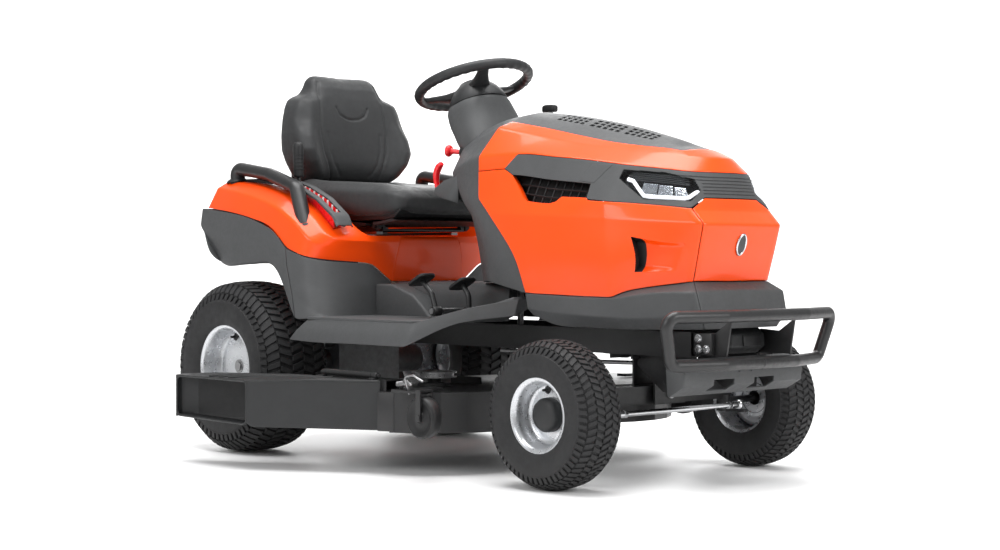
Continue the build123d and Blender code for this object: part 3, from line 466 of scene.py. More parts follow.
def net(S, N, du=5.0, dv=7.0, tags=None, disp=None, off=0.0, xu=(), xv=()):
    """Panel over a surface. N[i][j] = (u, v) control net; each cell is divided to about du by dv millimetres.
    tags(i, j, u, v) gives 'hole' or a material index for a face; disp(U, V) pushes points outwards in millimetres."""
    N = np.array(N, float)
    nr, nc = N.shape[:2]
    X = S.at(N[..., 0], N[..., 1])
    ru = [max(1, int(math.ceil(np.linalg.norm(X[i + 1] - X[i], axis=-1).max() / du))) for i in range(nr - 1)]
    cv = [max(1, int(math.ceil(np.linalg.norm(X[:, j + 1] - X[:, j], axis=-1).max() / dv))) for j in range(nc - 1)]
    a = np.concatenate([[i + k / ru[i] for k in range(ru[i])] for i in range(nr - 1)] + [[nr - 1]])
    b = np.concatenate([[j + k / cv[j] for k in range(cv[j])] for j in range(nc - 1)] + [[nc - 1]])
    if len(xu):
        a = np.unique(np.concatenate([a, xu]))
    if len(xv):
        b = np.unique(np.concatenate([b, xv]))
    i0 = np.clip(a.astype(int), 0, nr - 2)
    j0 = np.clip(b.astype(int), 0, nc - 2)
    fa, fb = (a - i0)[:, None, None], (b - j0)[None, :, None]
    n00, n10 = N[i0][:, j0], N[i0 + 1][:, j0]
    n01, n11 = N[i0][:, j0 + 1], N[i0 + 1][:, j0 + 1]
    UV = (n00 * (1 - fa) * (1 - fb) + n10 * fa * (1 - fb) + n01 * (1 - fa) * fb + n11 * fa * fb)
    U, V = UV[..., 0], UV[..., 1]
    P = S.at(U, V)
    if disp is not None or off:
        nn = S.normal(U, V)
        P = P + nn * off
        if disp is not None:
            P = P + nn * disp(U, V)[..., None]
    F, M = [], []
    R, C = P.shape[:2]
    for i in range(R - 1):
        for j in range(C - 1):
            um = (U[i, j] + U[i + 1, j + 1]) / 2
            vm = (V[i, j] + V[i + 1, j + 1]) / 2
            t = tags(int(i0[i]), int(j0[j]), um, vm) if tags else 0
            if t == "hole":
                continue
            q = (i * C + j, i * C + j + 1, (i + 1) * C + j + 1, (i + 1) * C + j)
            F.append(q if S.sg > 0 else q[::-1])
            M.append(t)
    return Geo().add(P.reshape(-1, 3), F, M)


# ------------------------------------------------------------------ objects
SCENE = bpy.context.scene


def build(name, g, mats, body, slot=None, rep=(), thick=0.0, bevel=0.0, bseg=2, bangle=35, angle=38, weld=0.02, recalc=False, sub=0, flat=False, mirror=False, wn=False):
    if mirror:
        g = g.both()
    me = bpy.data.meshes.new(name)
    me.from_pydata(m(g.verts()).tolist(), [], g.F)
    mats = mats if isinstance(mats, (list, tuple)) else [mats]
    for k in mats:
        me.materials.append(k)
    me.polygons.foreach_set("material_index", np.array(g.M, np.int32))
    bm = bmesh.new()
    bm.from_mesh(me)
    if weld:
        bmesh.ops.remove_doubles(bm, verts=bm.verts, dist=weld / 1000)
    bmesh.ops.delete(bm, geom=[v for v in bm.verts if not v.link_faces], context="VERTS")
    if recalc:
        bmesh.ops.recalc_face_normals(bm, faces=bm.faces)
    bm.to_mesh(me)
    bm.free()
    o = bpy.data.objects.new(name, me)
    SCENE.collection.objects.link(o)
    if sub:
        q = o.modifiers.new("sub", "SUBSURF")
        q.levels = q.render_levels = sub
    if thick:
        q = o.modifiers.new("thick", "SOLIDIFY")
        q.thickness = thick / 1000
        q.offset = -1
        q.use_even_offset = False
        q.use_quality_normals = True
    if bevel:
        q = o.modifiers.new("bevel", "BEVEL")
        q.width = bevel / 1000
        q.segments = bseg
        q.limit_method = "ANGLE"
        q.angle_limit = math.radians(bangle)
        q.use_clamp_overlap = True
        q.harden_normals = False
    if o.modifiers:
        dg = bpy.context.evaluated_depsgraph_get()
        new = bpy.data.meshes.new_from_object(o.evaluated_get(dg))
        o.modifiers.clear()
        o.data = new
        bpy.data.meshes.remove(me)
        new.name = name
        me = new
    if not flat:
        me.polygons.foreach_set("use_smooth", np.ones(len(me.polygons), bool))
        me.set_sharp_from_angle(angle=math.radians(angle))
    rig.ride(o, body)
    if slot:
        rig.slot(o, slot)
    if rep:
        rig.replaces(o, *rep)
    return o


# ------------------------------------------------------------------ materials
def material(name, color, rough=0.5, metal=0.0, coat=0.0, coat_rough=0.1, spec=0.5, bumps=(), vary=0.06, vary_scale=18.0,
             rough_var=0.08, rough_scale=60.0, speck=None, pale_low_band=None, transmission=0.0, ior=1.45, sheen=0.0, emit=None, stretch=None, wear=None):
    """A procedural finish in object coordinates (metres). bumps: (kind, scale, strength, distance, detail)."""
    mt = bpy.data.materials.new(name)
    mt.use_nodes = True
    nt = mt.node_tree
    N, L = nt.nodes, nt.links
    for q in list(N):
        N.remove(q)
    out = N.new("ShaderNodeOutputMaterial")
    b = N.new("ShaderNodeBsdfPrincipled")
    L.new(b.outputs[0], out.inputs[0])
    tc = N.new("ShaderNodeTexCoord")
    co = tc.outputs["Object"]
    if stretch:
        mp = N.new("ShaderNodeMapping")
        mp.inputs["Scale"].default_value = stretch
        L.new(co, mp.inputs["Vector"])
        co = mp.outputs[0]

    def noise(scale, detail=4.0, rough_=0.55):
        q = N.new("ShaderNodeTexNoise")
        q.inputs["Scale"].default_value = scale
        q.inputs["Detail"].default_value = detail
        q.inputs["Roughness"].default_value = rough_
        L.new(co, q.inputs["Vector"])
        return q.outputs[0]

    def remap(src, lo, hi, a=0.3, c=0.7):
        q = N.new("ShaderNodeMapRange")
        q.inputs["From Min"].default_value = a
        q.inputs["From Max"].default_value = c
        q.inputs["To Min"].default_value = lo
        q.inputs["To Max"].default_value = hi
        L.new(src, q.inputs["Value"])
        return q.outputs[0]

    def mix(f, A, B):
        q = N.new("ShaderNodeMix")
        q.data_type = "RGBA"
        if isinstance(f, float):
            q.inputs[0].default_value = f
        else:
            L.new(f, q.inputs[0])
        for k, c in ((6, A), (7, B)):
            if isinstance(c, (tuple, list)):
                q.inputs[k].default_value = (*c[:3], 1)
            else:
                L.new(c, q.inputs[k])
        return q.outputs[2]

    col = np.array(color[:3], float)
    hi = np.clip(col * (1 + vary) + vary * 0.02, 0, 1)
    lo = np.clip(col * (1 - vary), 0, 1)
    c = mix(remap(noise(vary_scale, 5.0), 0, 1), tuple(lo), tuple(hi))
    if speck:
        sc, amt, scol = speck
        c = mix(remap(noise(sc, 2.0), 0, amt, 0.52, 0.75), c, scol)
    # mixed towards a paler colour in a mottled band near the ground, fading out by dz metres above it
    if pale_low_band:
        dcol, amt, dz = pale_low_band
        sx = N.new("ShaderNodeSeparateXYZ")
        L.new(tc.outputs["Object"], sx.inputs[0])
        f1 = remap(sx.outputs[2], amt, 0.0, 0.0, dz)
        mul = N.new("ShaderNodeMath")
        mul.operation = "MULTIPLY"
        L.new(f1, mul.inputs[0])
        L.new(remap(noise(30.0, 6.0, 0.7), 0.2, 1.0), mul.inputs[1])
        c = mix(mul.outputs[0], c, dcol)
    L.new(c, b.inputs["Base Color"])
    L.new(remap(noise(rough_scale, 4.0), max(0.02, rough - rough_var), min(1, rough + rough_var)), b.inputs["Roughness"])
    b.inputs["Metallic"].default_value = metal
    b.inputs["Coat Weight"].default_value = coat
    b.inputs["Coat Roughness"].default_value = coat_rough
    b.inputs["Specular IOR Level"].default_value = spec
    b.inputs["IOR"].default_value = ior
    b.inputs["Transmission Weight"].default_value = transmission
    if sheen:
        b.inputs["Sheen Weight"].default_value = sheen
        b.inputs["Sheen Roughness"].default_value = 0.4
    if emit:
        b.inputs["Emission Color"].default_value = (*emit[0], 1)
        b.inputs["Emission Strength"].default_value = emit[1]
    prev = None
    for kind, scale, strength, dist, detail in bumps:
        if kind == "noise":
            h = noise(scale, detail)
        elif kind == "cells":
            q = N.new("ShaderNodeTexVoronoi")
            q.inputs["Scale"].default_value = scale
            q.feature = "F1"
            L.new(co, q.inputs["Vector"])
            h = q.outputs["Distance"]
        elif kind == "creases":
            q = N.new("ShaderNodeTexVoronoi")
            q.feature = "DISTANCE_TO_EDGE"
            q.inputs["Scale"].default_value = scale
            L.new(co, q.inputs["Vector"])
            h = remap(q.outputs["Distance"], 0, 1, 0.0, 0.12)
        bp = N.new("ShaderNodeBump")
        bp.inputs["Strength"].default_value = strength
        bp.inputs["Distance"].default_value = dist
        L.new(h, bp.inputs["Height"])
        if prev is not None:
            L.new(prev, bp.inputs["Normal"])
        prev = bp.outputs[0]
    if prev is not None:
        L.new(prev, b.inputs["Normal"])
        if coat:
            pass
    return mt


def srgb(r, g, b):
    f = lambda c: (c / 255 / 12.92) if c <= 10.31 else (((c / 255) + 0.055) / 1.055) ** 2.4
    return (f(r), f(g), f(b))


ORANGE = material("orange_gloss", srgb(250, 74, 2), rough=0.34, spec=0.32, coat=0.28, coat_rough=0.08, vary=0.025, vary_scale=9.0, rough_var=0.04, rough_scale=40.0,
                  bumps=[("noise", 420.0, 0.06, 0.0004, 2.0), ("noise", 26.0, 0.05, 0.0012, 2.0)], speck=(2600.0, 0.10, srgb(255, 120, 40)))
GREY = material("grey_texture", srgb(68, 69, 70), rough=0.56, vary=0.05, vary_scale=22.0, rough_var=0.07, rough_scale=90.0, spec=0.42,
                bumps=[("noise", 1500.0, 0.32, 0.0004, 3.0), ("noise", 300.0, 0.08, 0.0006, 3.0)], speck=(2200.0, 0.25, srgb(97, 98, 99)))
DARK = material("dark_plastic", srgb(33, 34, 35), rough=0.5, vary=0.07, vary_scale=20.0, rough_var=0.09, rough_scale=80.0, spec=0.45,
                bumps=[("noise", 1300.0, 0.3, 0.0004, 3.0), ("noise", 200.0, 0.08, 0.0006, 3.0)], speck=(1800.0, 0.2, srgb(60, 61, 62)))
BLACK = material("black_plastic", srgb(22, 22, 23), rough=0.48, vary=0.08, vary_scale=25.0, rough_var=0.1, rough_scale=70.0, spec=0.4,
                 bumps=[("noise", 1100.0, 0.25, 0.0004, 3.0)], speck=(1500.0, 0.2, srgb(34, 34, 35)))
STEELBLACK = material("black_powder_coat", srgb(26, 26, 27), rough=0.42, vary=0.07, vary_scale=30.0, rough_var=0.08, rough_scale=110.0, spec=0.5, coat=0.12, coat_rough=0.3,
                      bumps=[("noise", 900.0, 0.22, 0.0005, 3.0), ("noise", 120.0, 0.06, 0.0008, 3.0)], speck=(1300.0, 0.3, srgb(50, 50, 51)))
# tyre rubber, paler in a mottled band up to 12 cm above the ground
RUBBER = material("tyre_rubber", srgb(36, 36, 37), rough=0.66, vary=0.1, vary_scale=24.0, rough_var=0.08, rough_scale=60.0, spec=0.35,
                  bumps=[("noise", 900.0, 0.2, 0.0005, 4.0), ("noise", 90.0, 0.10, 0.0012, 5.0)], pale_low_band=(srgb(92, 90, 86), 0.12, 0.12), speck=(700.0, 0.18, srgb(66, 66, 66)))
SILVER = material("rim_silver", srgb(196, 198, 201), rough=0.3, metal=0.75, vary=0.04, vary_scale=30.0, rough_var=0.07, rough_scale=60.0, coat=0.3, coat_rough=0.12,
                  bumps=[("noise", 900.0, 0.04, 0.0002, 2.0)])
CHROME = material("bright_zinc", srgb(205, 206, 208), rough=0.2, metal=1.0, vary=0.05, vary_scale=60.0, rough_var=0.08, rough_scale=200.0,
                  bumps=[("noise", 900.0, 0.1, 0.0003, 3.0)])
STEEL = material("machined_steel", srgb(150, 150, 151), rough=0.34, metal=1.0, vary=0.08, vary_scale=50.0, rough_var=0.1, rough_scale=160.0,
                 bumps=[("noise", 700.0, 0.15, 0.0004, 4.0)])
CAST = material("cast_metal", srgb(112, 113, 114), rough=0.55, metal=0.8, vary=0.12, vary_scale=40.0, rough_var=0.12, rough_scale=120.0,
                bumps=[("noise", 500.0, 0.4, 0.0008, 5.0), ("noise", 60.0, 0.15, 0.002, 4.0)])
RED = material("red_control", srgb(225, 22, 30), rough=0.3, coat=0.4, coat_rough=0.1, vary=0.06, vary_scale=40.0, rough_var=0.06, rough_scale=90.0,
               bumps=[("noise", 900.0, 0.1, 0.0003, 3.0)])
VINYL = material("grained_vinyl", srgb(41, 42, 43), rough=0.55, vary=0.07, vary_scale=16.0, rough_var=0.09, rough_scale=70.0, spec=0.4, sheen=0.08,
                 bumps=[("creases", 520.0, 0.32, 0.0004, 0.0), ("noise", 1400.0, 0.18, 0.0003, 3.0), ("noise", 45.0, 0.1, 0.002, 3.0)], speck=(900.0, 0.18, srgb(68, 69, 70)))
CLEAR = material("clear_lens", srgb(245, 247, 250), rough=0.05, vary=0.01, rough_var=0.02, rough_scale=60.0, transmission=1.0, ior=1.2, spec=0.5,
                 bumps=[("noise", 60.0, 0.02, 0.0004, 1.0)])
PIPE = material("light_guide", srgb(250, 251, 252), rough=0.25, vary=0.02, rough_var=0.05, rough_scale=200.0, emit=((1, 1, 1), 0.55), coat=0.5,
                bumps=[("noise", 700.0, 0.06, 0.0003, 2.0)])
MIRROR = material("lamp_reflector", srgb(190, 194, 198), rough=0.16, metal=1.0, vary=0.08, vary_scale=120.0, rough_var=0.08, rough_scale=300.0,
                  bumps=[("cells", 260.0, 0.35, 0.0008, 0.0)])
TANK = material("tank_polyethylene", srgb(214, 210, 196), rough=0.45, vary=0.05, vary_scale=30.0, rough_var=0.1, rough_scale=80.0,
                bumps=[("noise", 400.0, 0.2, 0.0006, 4.0)])
BELT = material("belt_rubber", srgb(30, 30, 31), rough=0.7, vary=0.12, vary_scale=60.0, rough_var=0.1, rough_scale=120.0,
                bumps=[("noise", 800.0, 0.3, 0.0005, 4.0)])
WHITE = material("white_marks", srgb(232, 232, 230), rough=0.5, vary=0.04, vary_scale=80.0, rough_var=0.08, rough_scale=200.0, bumps=[("noise", 900.0, 0.1, 0.0003, 3.0)])
# ------------------------------------------------------------------ cages of the rear panels, right half
F = [
 [(-178,-425,726),(-60,-432,712),(60,-434,690),(147,-433,662),(221,-432,603),(300,-415,578),(342,-216,560),(346,-142,507)],
 [(-140,-418,785),(-40,-424,772),(60,-425,752),(161,-428,722),(240,-426,682),(315,-404,618),(350,-222,600),(352,-130,580)],
 [(-128,-385,806),(-40,-385,800),(60,-385,783),(170,-385,752),(262,-382,700),(330,-370,640),(356,-226,622),(356,-120,622)],
 [(-125,-268,812),(-40,-268,808),(60,-268,790),(170,-268,762),(250,-264,722),(318,-258,668),(350,-235,640),(350,-110,640)],
 [(-130,-245,640),(-40,-245,640),(60,-245,639),(170,-245,636),(240,-242,634),(290,-236,634),(325,-210,638),(335,-100,638)],
 [(-130,0,640),(-40,0,640),(60,0,639),(170,0,636),(240,0,634),(290,0,634),(325,0,638),(335,0,638)],
]
FW = [
 [(346,-142,507),(352,-130,580),(356,-120,622),(350,-110,640),(335,-100,638)],
 [(348,0,507),(354,0,580),(358,0,622),(352,0,640),(335,0,638)],
]
G = [
 [(-205,-425,724),(-60,-435,709),(60,-437,687),(147,-436,659),(221,-435,600),(300,-418,575),(340,-219,557),(344,-146,504)],
 [(-212,-428,672),(-90,-440,655),(60,-441,635),(150,-441,610),(232,-440,560),(318,-420,500),(352,-225,500),(352,-150,470)],
 [(-105,-425,560),(-69,-432,555),(60,-436,562),(150,-436,560),(262,-442,470),(345,-425,420),(360,-230,410),(358,-154,410)],
 [(-100,-415,556),(-65,-425,552),(60,-430,558),(155,-430,556),(285,-450,400),(352,-430,404),(362,-232,404),(360,-156,404)],
]
RC = [
 [(-205,-425,724),(-212,-428,672),(-105,-425,560),(-100,-415,556)],
 [(-216,-250,726),(-222,-250,672),(-150,-250,560),(-145,-250,556)],
 [(-220,0,727),(-226,0,672),(-155,0,560),(-150,0,556)],
]

# ------------------------------------------------------------------ cages, right half (y < 0); the left half mirrors
H = [
 [(1030,-266,487),(1060,-264,485),(1100,-262,484),(1200,-252,481),(1308,-240,479),(1365,-212,500),(1509,-154,521),(1507,-78,521),(1505,0,520)],
 [(985,-270,590),(1030,-270,590),(1100,-268,588),(1200,-260,586),(1303,-247,584),(1410,-208,588),(1528,-158,600),(1532,-80,602),(1532,0,602)],
 [(880,-258,696),(960,-262,692),(1080,-262,688),(1200,-254,684),(1296,-241,679),(1415,-206,672),(1544,-161,664),(1549,-80,664),(1550,0,664)],
 [(832,-250,738),(950,-248,740),(1080,-246,726),(1200,-243,720),(1285,-236,716),(1388,-200,709),(1510,-162,698),(1515,-80,699),(1516,0,699)],
 [(822,-240,852),(950,-214,857),(1080,-205,845),(1200,-192,832),(1300,-180,818),(1400,-152,806),(1460,-125,798),(1488,-70,796),(1497,0,796)],
 [(838,-180,934),(950,-166,911),(1080,-152,886),(1200,-140,868),(1300,-126,855),(1380,-108,846),(1440,-88,836),(1466,-45,834),(1474,0,834)],
 [(840,-129,952),(950,-122,932),(1080,-114,905),(1200,-114,882),(1300,-106,868),(1370,-90,860),(1407,-79,853),(1412,-40,858),(1414,0,860)],
 [(842,-66,974),(950,-62,958),(1080,-58,934),(1200,-58,908),(1300,-54,886),(1350,-48,874),(1375,-42,866),(1385,-20,866),(1390,0,866)],
 [(844,0,984),(950,0,972),(1080,0,950),(1200,0,924),(1300,0,897),(1340,0,885),(1360,0,877),(1372,0,872),(1380,0,870)],
]
D = [
 [(1027,-263,485),(950,-262,500),(868,-250,515),(724,-120,507),(705,0,507)],
 [(982,-267,590),(915,-264,590),(850,-247,595),(704,-120,600),(680,0,600)],
 [(877,-255,696),(835,-252,692),(792,-236,690),(682,-120,690),(652,0,690)],
 [(829,-247,738),(785,-240,735),(738,-222,729),(668,-115,728),(638,0,728)],
 [(819,-237,852),(735,-216,838),(652,-188,812),(616,-100,812),(597,0,812)],
 [(835,-178,934),(740,-160,908),(628,-122,885),(588,-64,885),(575,0,885)],
 [(837,-128,952),(750,-112,945),(645,-80,925),(600,-44,925),(588,0,925)],
 [(839,-66,974),(770,-60,968),(690,-45,955),(645,-26,948),(632,0,946)],
 [(841,0,984),(780,0,978),(705,0,966),(668,0,956),(654,0,952)],
]
K = [
 [(1048,-255,428),(1130,-252,404),(1240,-240,400),(1352,-205,397),(1450,-170,399),(1538,-150,401),(1538,-75,401),(1538,0,401)],
 [(1036,-264,445),(1130,-268,436),(1240,-262,430),(1360,-236,424),(1470,-204,430),(1550,-176,440),(1553,-80,446),(1554,0,448)],
 [(1031,-267,483),(1130,-266,480),(1240,-254,476),(1330,-242,476),(1440,-214,492),(1536,-180,494),(1540,-80,497),(1542,0,498)],
 [(1032,-263,485),(1100,-259,482),(1200,-250,479),(1308,-238,477),(1365,-210,498),(1507,-152,519),(1505,-78,519),(1503,0,518)],
]

# ------------------------------------------------------------------ hood
SH = Surf(H, su=(2, 3, 4, 5, 6), sv=(4, 6), ru=6, rv=13, gu=True, gv=True)
LOWER = [(0, 3.64), (.70, 3.64), (.95, 3.5), (1.52, 2.86), (2.15, 2.86), (2.45, 3.12), (3.22, 3.12), (3.3, 3.06), (4.0, 3.05), (4.55, 3.05), (5.72, 3.04), (6.04, 3.03)]


def column(v, top, mids):
    return [(0.0, v)] + [(u, v) for u in mids] + [(2.0, v), (top, v)]


low = []
for v, top in LOWER:
    c = [(0.0, v), (0.48, v), (1.4, v), (2.0, v), (top, v)]
    if v == 4.55:
        c = [(0.0, 4.80), (0.52, 4.80), (1.52, 4.56), (2.0, 4.60), (top, 4.62)]
    if v == 5.72:
        c = [(0.0, 5.66), (0.40, 5.66), (1.24, 5.72), (2.0, 5.72), (top, 5.72)]
    low.append(c)
low = [list(r) for r in zip(*low)]
REC_J = [j for j, (v, t) in enumerate(LOWER) if v == 4.55][0]


def low_tag(i, j, u, v):
    return "hole" if (i == 1 and j == REC_J) else 0


hood = net(SH, low, 4.5, 6.5, low_tag)


# the recess behind the front corner: deep at its rear edge, running out flush towards the nose
def rec_patch():
    c = [[low[1][REC_J], low[1][REC_J + 1]], [low[2][REC_J], low[2][REC_J + 1]]]
    a = np.linspace(0, 1, 16)
    b = np.concatenate([[0], [0.004], np.linspace(0.03, 1, 22)])
    U = np.array([[(c[0][0][0] * (1 - x) + c[1][0][0] * x) * (1 - y) + (c[0][1][0] * (1 - x) + c[1][1][0] * x) * y for y in b] for x in a])
    V = np.array([[(c[0][0][1] * (1 - x) + c[1][0][1] * x) * (1 - y) + (c[0][1][1] * (1 - x) + c[1][1][1] * x) * y for y in b] for x in a])
    P, n = SH.at(U, V), SH.normal(U, V)
    dep = np.where(b[None, :] < 0.002, 0.0, 27.0 * (1 - b[None, :]) ** 0.9) * np.minimum(1, np.minimum(a, 1 - a)[:, None] / 0.10)
    P = P - n * dep[..., None]
    F = grid_faces(*P.shape[:2])
    # faces at the deep rear end of the recess take black (material 1): painted shade standing for the dark inside the
    # air intake opening
    M = [1 if b[k % (len(b) - 1)] < 0.17 else 0 for k in range(len(F))]
    return Geo().add(P.reshape(-1, 3), F, M), (P, n, b)


recg, (rp, rn, rb) = rec_patch()
hood.join(recg)
# nose panel in front of the parting line, up to the step under the lamps
nose = [[(u, v) for v in (6.075, 6.65, 8.0)] for u in (0, 1.0, 2.0)] + [[(3.03, 6.075), (3.30, 6.65), (3.30, 8.0)]]
NOSE = net(SH, nose, 4.5, 6.0)
# upper shell: shoulders above the band up to the grey insert
UPT = [(0, 3.66), (.70, 3.66), (.98, 3.99), (1.3, 4.0), (3.0, 4.0), (5.0, 4.0), (6.0, 4.0), (8.0, 4.0)]
upper = [[(t, v) for v, t in UPT], [(5.0, v) for v, t in UPT], [(5.985, v) for v, t in UPT]]
UPPER = net(SH, upper, 4.0, 6.5)
# lip returning into the side intake
edge = [(3.5, .95), (2.86, 1.52), (2.86, 2.15), (3.12, 2.45), (3.12, 3.22)]


def curve_uv(S, pts, step=5.0):
    out = []
    for (u0, v0), (u1, v1) in zip(pts[:-1], pts[1:]):
        d = np.linalg.norm(S.point(u1, v1) - S.point(u0, v0))
        k = max(2, int(d / step))
        out += [(u0 + (u1 - u0) * q / k, v0 + (v1 - v0) * q / k) for q in range(k)]
    return out + [pts[-1]]


def skirt_strip(S, pts, depth, inset=0.0):
    # wall from a curve on the surface straight inwards
    uv = np.array(curve_uv(S, pts))
    P, n = S.at(uv[:, 0], uv[:, 1]), S.normal(uv[:, 0], uv[:, 1])
    rows = [P, P - n * depth * 0.5, P - n * depth]
    V = np.stack(rows)
    return Geo().add(V.reshape(-1, 3), grid_faces(3, len(uv)))


lip = skirt_strip(SH, edge, 20.0)
build("hood_shell_side", hood.both(), [ORANGE, BLACK], "hood", "orange_gloss", ["hood_shell"], thick=2.6, bevel=0.9, bangle=50, angle=42)
build("hood_nose", NOSE.both(), ORANGE, "hood", "orange_gloss", thick=2.6, bevel=0.9, bangle=50, angle=42)
build("hood_shoulder", UPPER.both(), ORANGE, "hood", "orange_gloss", thick=2.6, bevel=0.9, bangle=50, angle=42)
build("hood_intake_lip", lip.both(), ORANGE, "hood", "orange_gloss", thick=1.8, bevel=0.4, bangle=50)

# grey insert on top with three pairs of slot rows
SLOT_V = []
for v0, v1 in ((1.02, 1.80), (1.92, 2.86), (2.96, 3.98)):
    for k in range(5):
        a = v0 + (v1 - v0) * k / 5
        SLOT_V.append((a, a + (v1 - v0) / 5 * 0.62))
SLOT_U = [(6.86, 7.06), (7.14, 7.34), (7.42, 7.62)]


def inlay_tag(i, j, u, v):
    for a, b in SLOT_U:
        if a < u < b:
            for c, d in SLOT_V:
                if c < v < d:
                    return "hole"
    return 0


xu = sorted({q for s_ in SLOT_U for q in s_})
xv = sorted({q for s_ in SLOT_V for q in s_})
N6 = [[(6.0, v) for v in range(9)], [(7.0, v) for v in range(9)], [(8.0, v) for v in range(9)]]


def inlay_disp(U, V):
    # raised fields round each slot group
    d = np.zeros_like(U)
    for v0, v1 in ((0.98, 1.82), (1.88, 2.88), (2.92, 4.0)):
        f = np.clip(np.minimum(V - v0, v1 - V) / 0.05, 0, 1) * np.clip(np.minimum(U - 6.78, 7.70 - U) / 0.06, 0, 1)
        d = np.maximum(d, -2.2 * f)
    return d


INL = net(SH, N6, 3.5, 5.0, inlay_tag, inlay_disp, xu=[q - 6 for q in xu], xv=xv)
build("hood_insert", INL.both(), GREY, "hood", "grey_plastic", ["hood_top_inlay"], thick=3.0, bevel=0.7, bangle=50)
under = net(SH, [[(6.6, 0.8), (6.6, 4.2)], [(7.9, 0.8), (7.9, 4.2)]], 12, 12, off=-9.0)
build("hood_insert_mesh", under.both(), BLACK, "hood", "dark_plastic", thick=1.5)

# grey band: cover over the intake, lamp housing and ribbed grille
BAND_LO = [(.70, 3.66), (.95, 3.51), (1.23, 3.50), (3.20, 3.455), (3.235, 3.10), (4.0, 3.07), (5.0, 3.06), (6.0, 3.055), (6.65, 3.325), (8.0, 3.325)]
BAND_HI = [(.70, 3.67), (.98, 3.975), (1.23, 3.98), (3.20, 3.98), (3.235, 3.98), (4.0, 3.98), (5.0, 3.98), (6.0, 3.98), (6.65, 3.98), (8.0, 3.98)]
bn = []
for q in (0, .25, .5, .75, 1):
    bn.append([(a[1] * (1 - q) + b[1] * q, a[0] * (1 - q) + b[0] * q) for a, b in zip(BAND_LO, BAND_HI)])
LAMP = [(3.66, 4.02), (3.87, 4.06), (3.90, 5.2), (3.80, 6.3), (3.50, 6.52), (3.22, 6.06), (3.16, 4.92)]      # (u, v) outline of the lamp


def inside(poly, u, v):
    r, n = False, len(poly)
    for i in range(n):
        (u0, v0), (u1, v1) = poly[i], poly[(i + 1) % n]
        if (v0 > v) != (v1 > v) and u < (u1 - u0) * (v - v0) / (v1 - v0) + u0:
            r = not r
    return r


def dist_poly(poly, U, V, ku=118.0, kv=88.0):
    # rough distance in millimetres to a (u, v) outline
    best = np.full(U.shape, 1e9)
    n = len(poly)
    for i in range(n):
        a = np.array([poly[i][0] * ku, poly[i][1] * kv])
        b = np.array([poly[(i + 1) % n][0] * ku, poly[(i + 1) % n][1] * kv])
        ab = b - a
        t = np.clip(((U * ku - a[0]) * ab[0] + (V * kv - a[1]) * ab[1]) / (ab @ ab), 0, 1)
        d = np.hypot(U * ku - a[0] - t * ab[0], V * kv - a[1] - t * ab[1])
        best = np.minimum(best, d)
    return best


def band_disp(U, V):
    # horizontal ribs: across the nose, and running out over the top of each lamp
    rib = ((U - 3.34) / 0.088) % 1.0
    prof = np.where(rib < 0.72, 0.0, 1.0)
    m1 = (V > 6.62) & (U > 3.36) & (U < 3.93)
    m2 = (V > 5.1 + (3.93 - U) * 6) & (U > 3.70) & (U < 3.93) & (V <= 6.62)
    return -2.6 * prof * (m1 | m2)


def band_tag(i, j, u, v):
    return "hole" if inside(LAMP, u, v) else 0


BAND = net(SH, bn, 1.9, 4.5, band_tag, band_disp)
build("band", BAND.both(), GREY, "hood", "grey_plastic", ["grille_band"], thick=3.0, bevel=0.5, bangle=55, angle=35)
# hinge cover set on the band
flap = net(SH, [[(3.50, 2.80), (3.47, 3.30)], [(3.90, 3.06), (3.95, 3.68)]], 5, 5, off=0.9)
build("band_flap", flap.both(), GREY, "hood", "grey_plastic", thick=2.0, bevel=0.6, bangle=40)
# dark box behind each intake, with its screen
bx = net(SH, [[(2.6, .9), (2.6, 3.4)], [(3.75, .9), (3.75, 3.4)]], 20, 20, off=-46.0)
build("intake_box", bx.both(), BLACK, "hood", "dark_plastic", thick=2)
scr = Geo()
for k in range(9):
    v = 1.25 + k * 0.24
    a, b = SH.point(2.9, v, -26), SH.point(3.62, v + 0.1, -26)
    scr.join(tube([a, b], 3.0, 8, caps="flat"))
for u in (2.95, 3.15, 3.35):
    pth = [SH.point(u, v, -24) for v in np.linspace(1.1, 3.3, 12)]
    scr.join(tube(pth, 2.6, 8, caps="flat"))
build("intake_screen", scr.both(), BLACK, "hood", "dark_plastic", ["side_intake_screens"], bevel=0.4)

# ---- lamps
def patch_poly(S, poly, nu, nv, off, shrink=1.0):
    # quad patch filling an outline given as (u, v), by rows between its lower and upper edges
    c = np.array(poly).mean(0)
    poly = [tuple(c + (np.array(p) - c) * shrink) for p in poly]
    vs = np.linspace(min(p[1] for p in poly) + 0.004, max(p[1] for p in poly) - 0.004, nv)
    rows = []
    for v in vs:
        hit = []
        for i in range(len(poly)):
            (u0, v0), (u1, v1) = poly[i], poly[(i + 1) % len(poly)]
            if (v0 - v) * (v1 - v) <= 0 and abs(v1 - v0) > 1e-9:
                hit.append(u0 + (u1 - u0) * (v - v0) / (v1 - v0))
        rows.append((min(hit), max(hit)))
    U = np.array([[a + (b - a) * q for a, b in rows] for q in np.linspace(0, 1, nu)])
    V = np.array([vs for q in range(nu)])
    P = S.at(U, V) + S.normal(U, V) * off
    return Geo().add(P.reshape(-1, 3), grid_faces(nu, nv))


lens = patch_poly(SH, LAMP, 14, 40, -0.6, 1.0)
bowl = patch_poly(SH, LAMP, 8, 30, -26.0, 1.0)
lampgeo = Geo()
wall = Geo()
loop = curve_uv(SH, LAMP + [LAMP[0]], 5)
uv = np.array(loop)
P0, n0 = SH.at(uv[:, 0], uv[:, 1]), SH.normal(uv[:, 0], uv[:, 1])
V3 = np.stack([P0 - n0 * 0.5, P0 - n0 * 8, P0 - n0 * 26])
wall.add(V3.reshape(-1, 3), [f[::-1] for f in grid_faces(3, len(uv))])
build("lamp_housing", wall.join(bowl).both(), BLACK, "hood", "dark_plastic", thick=1.5)
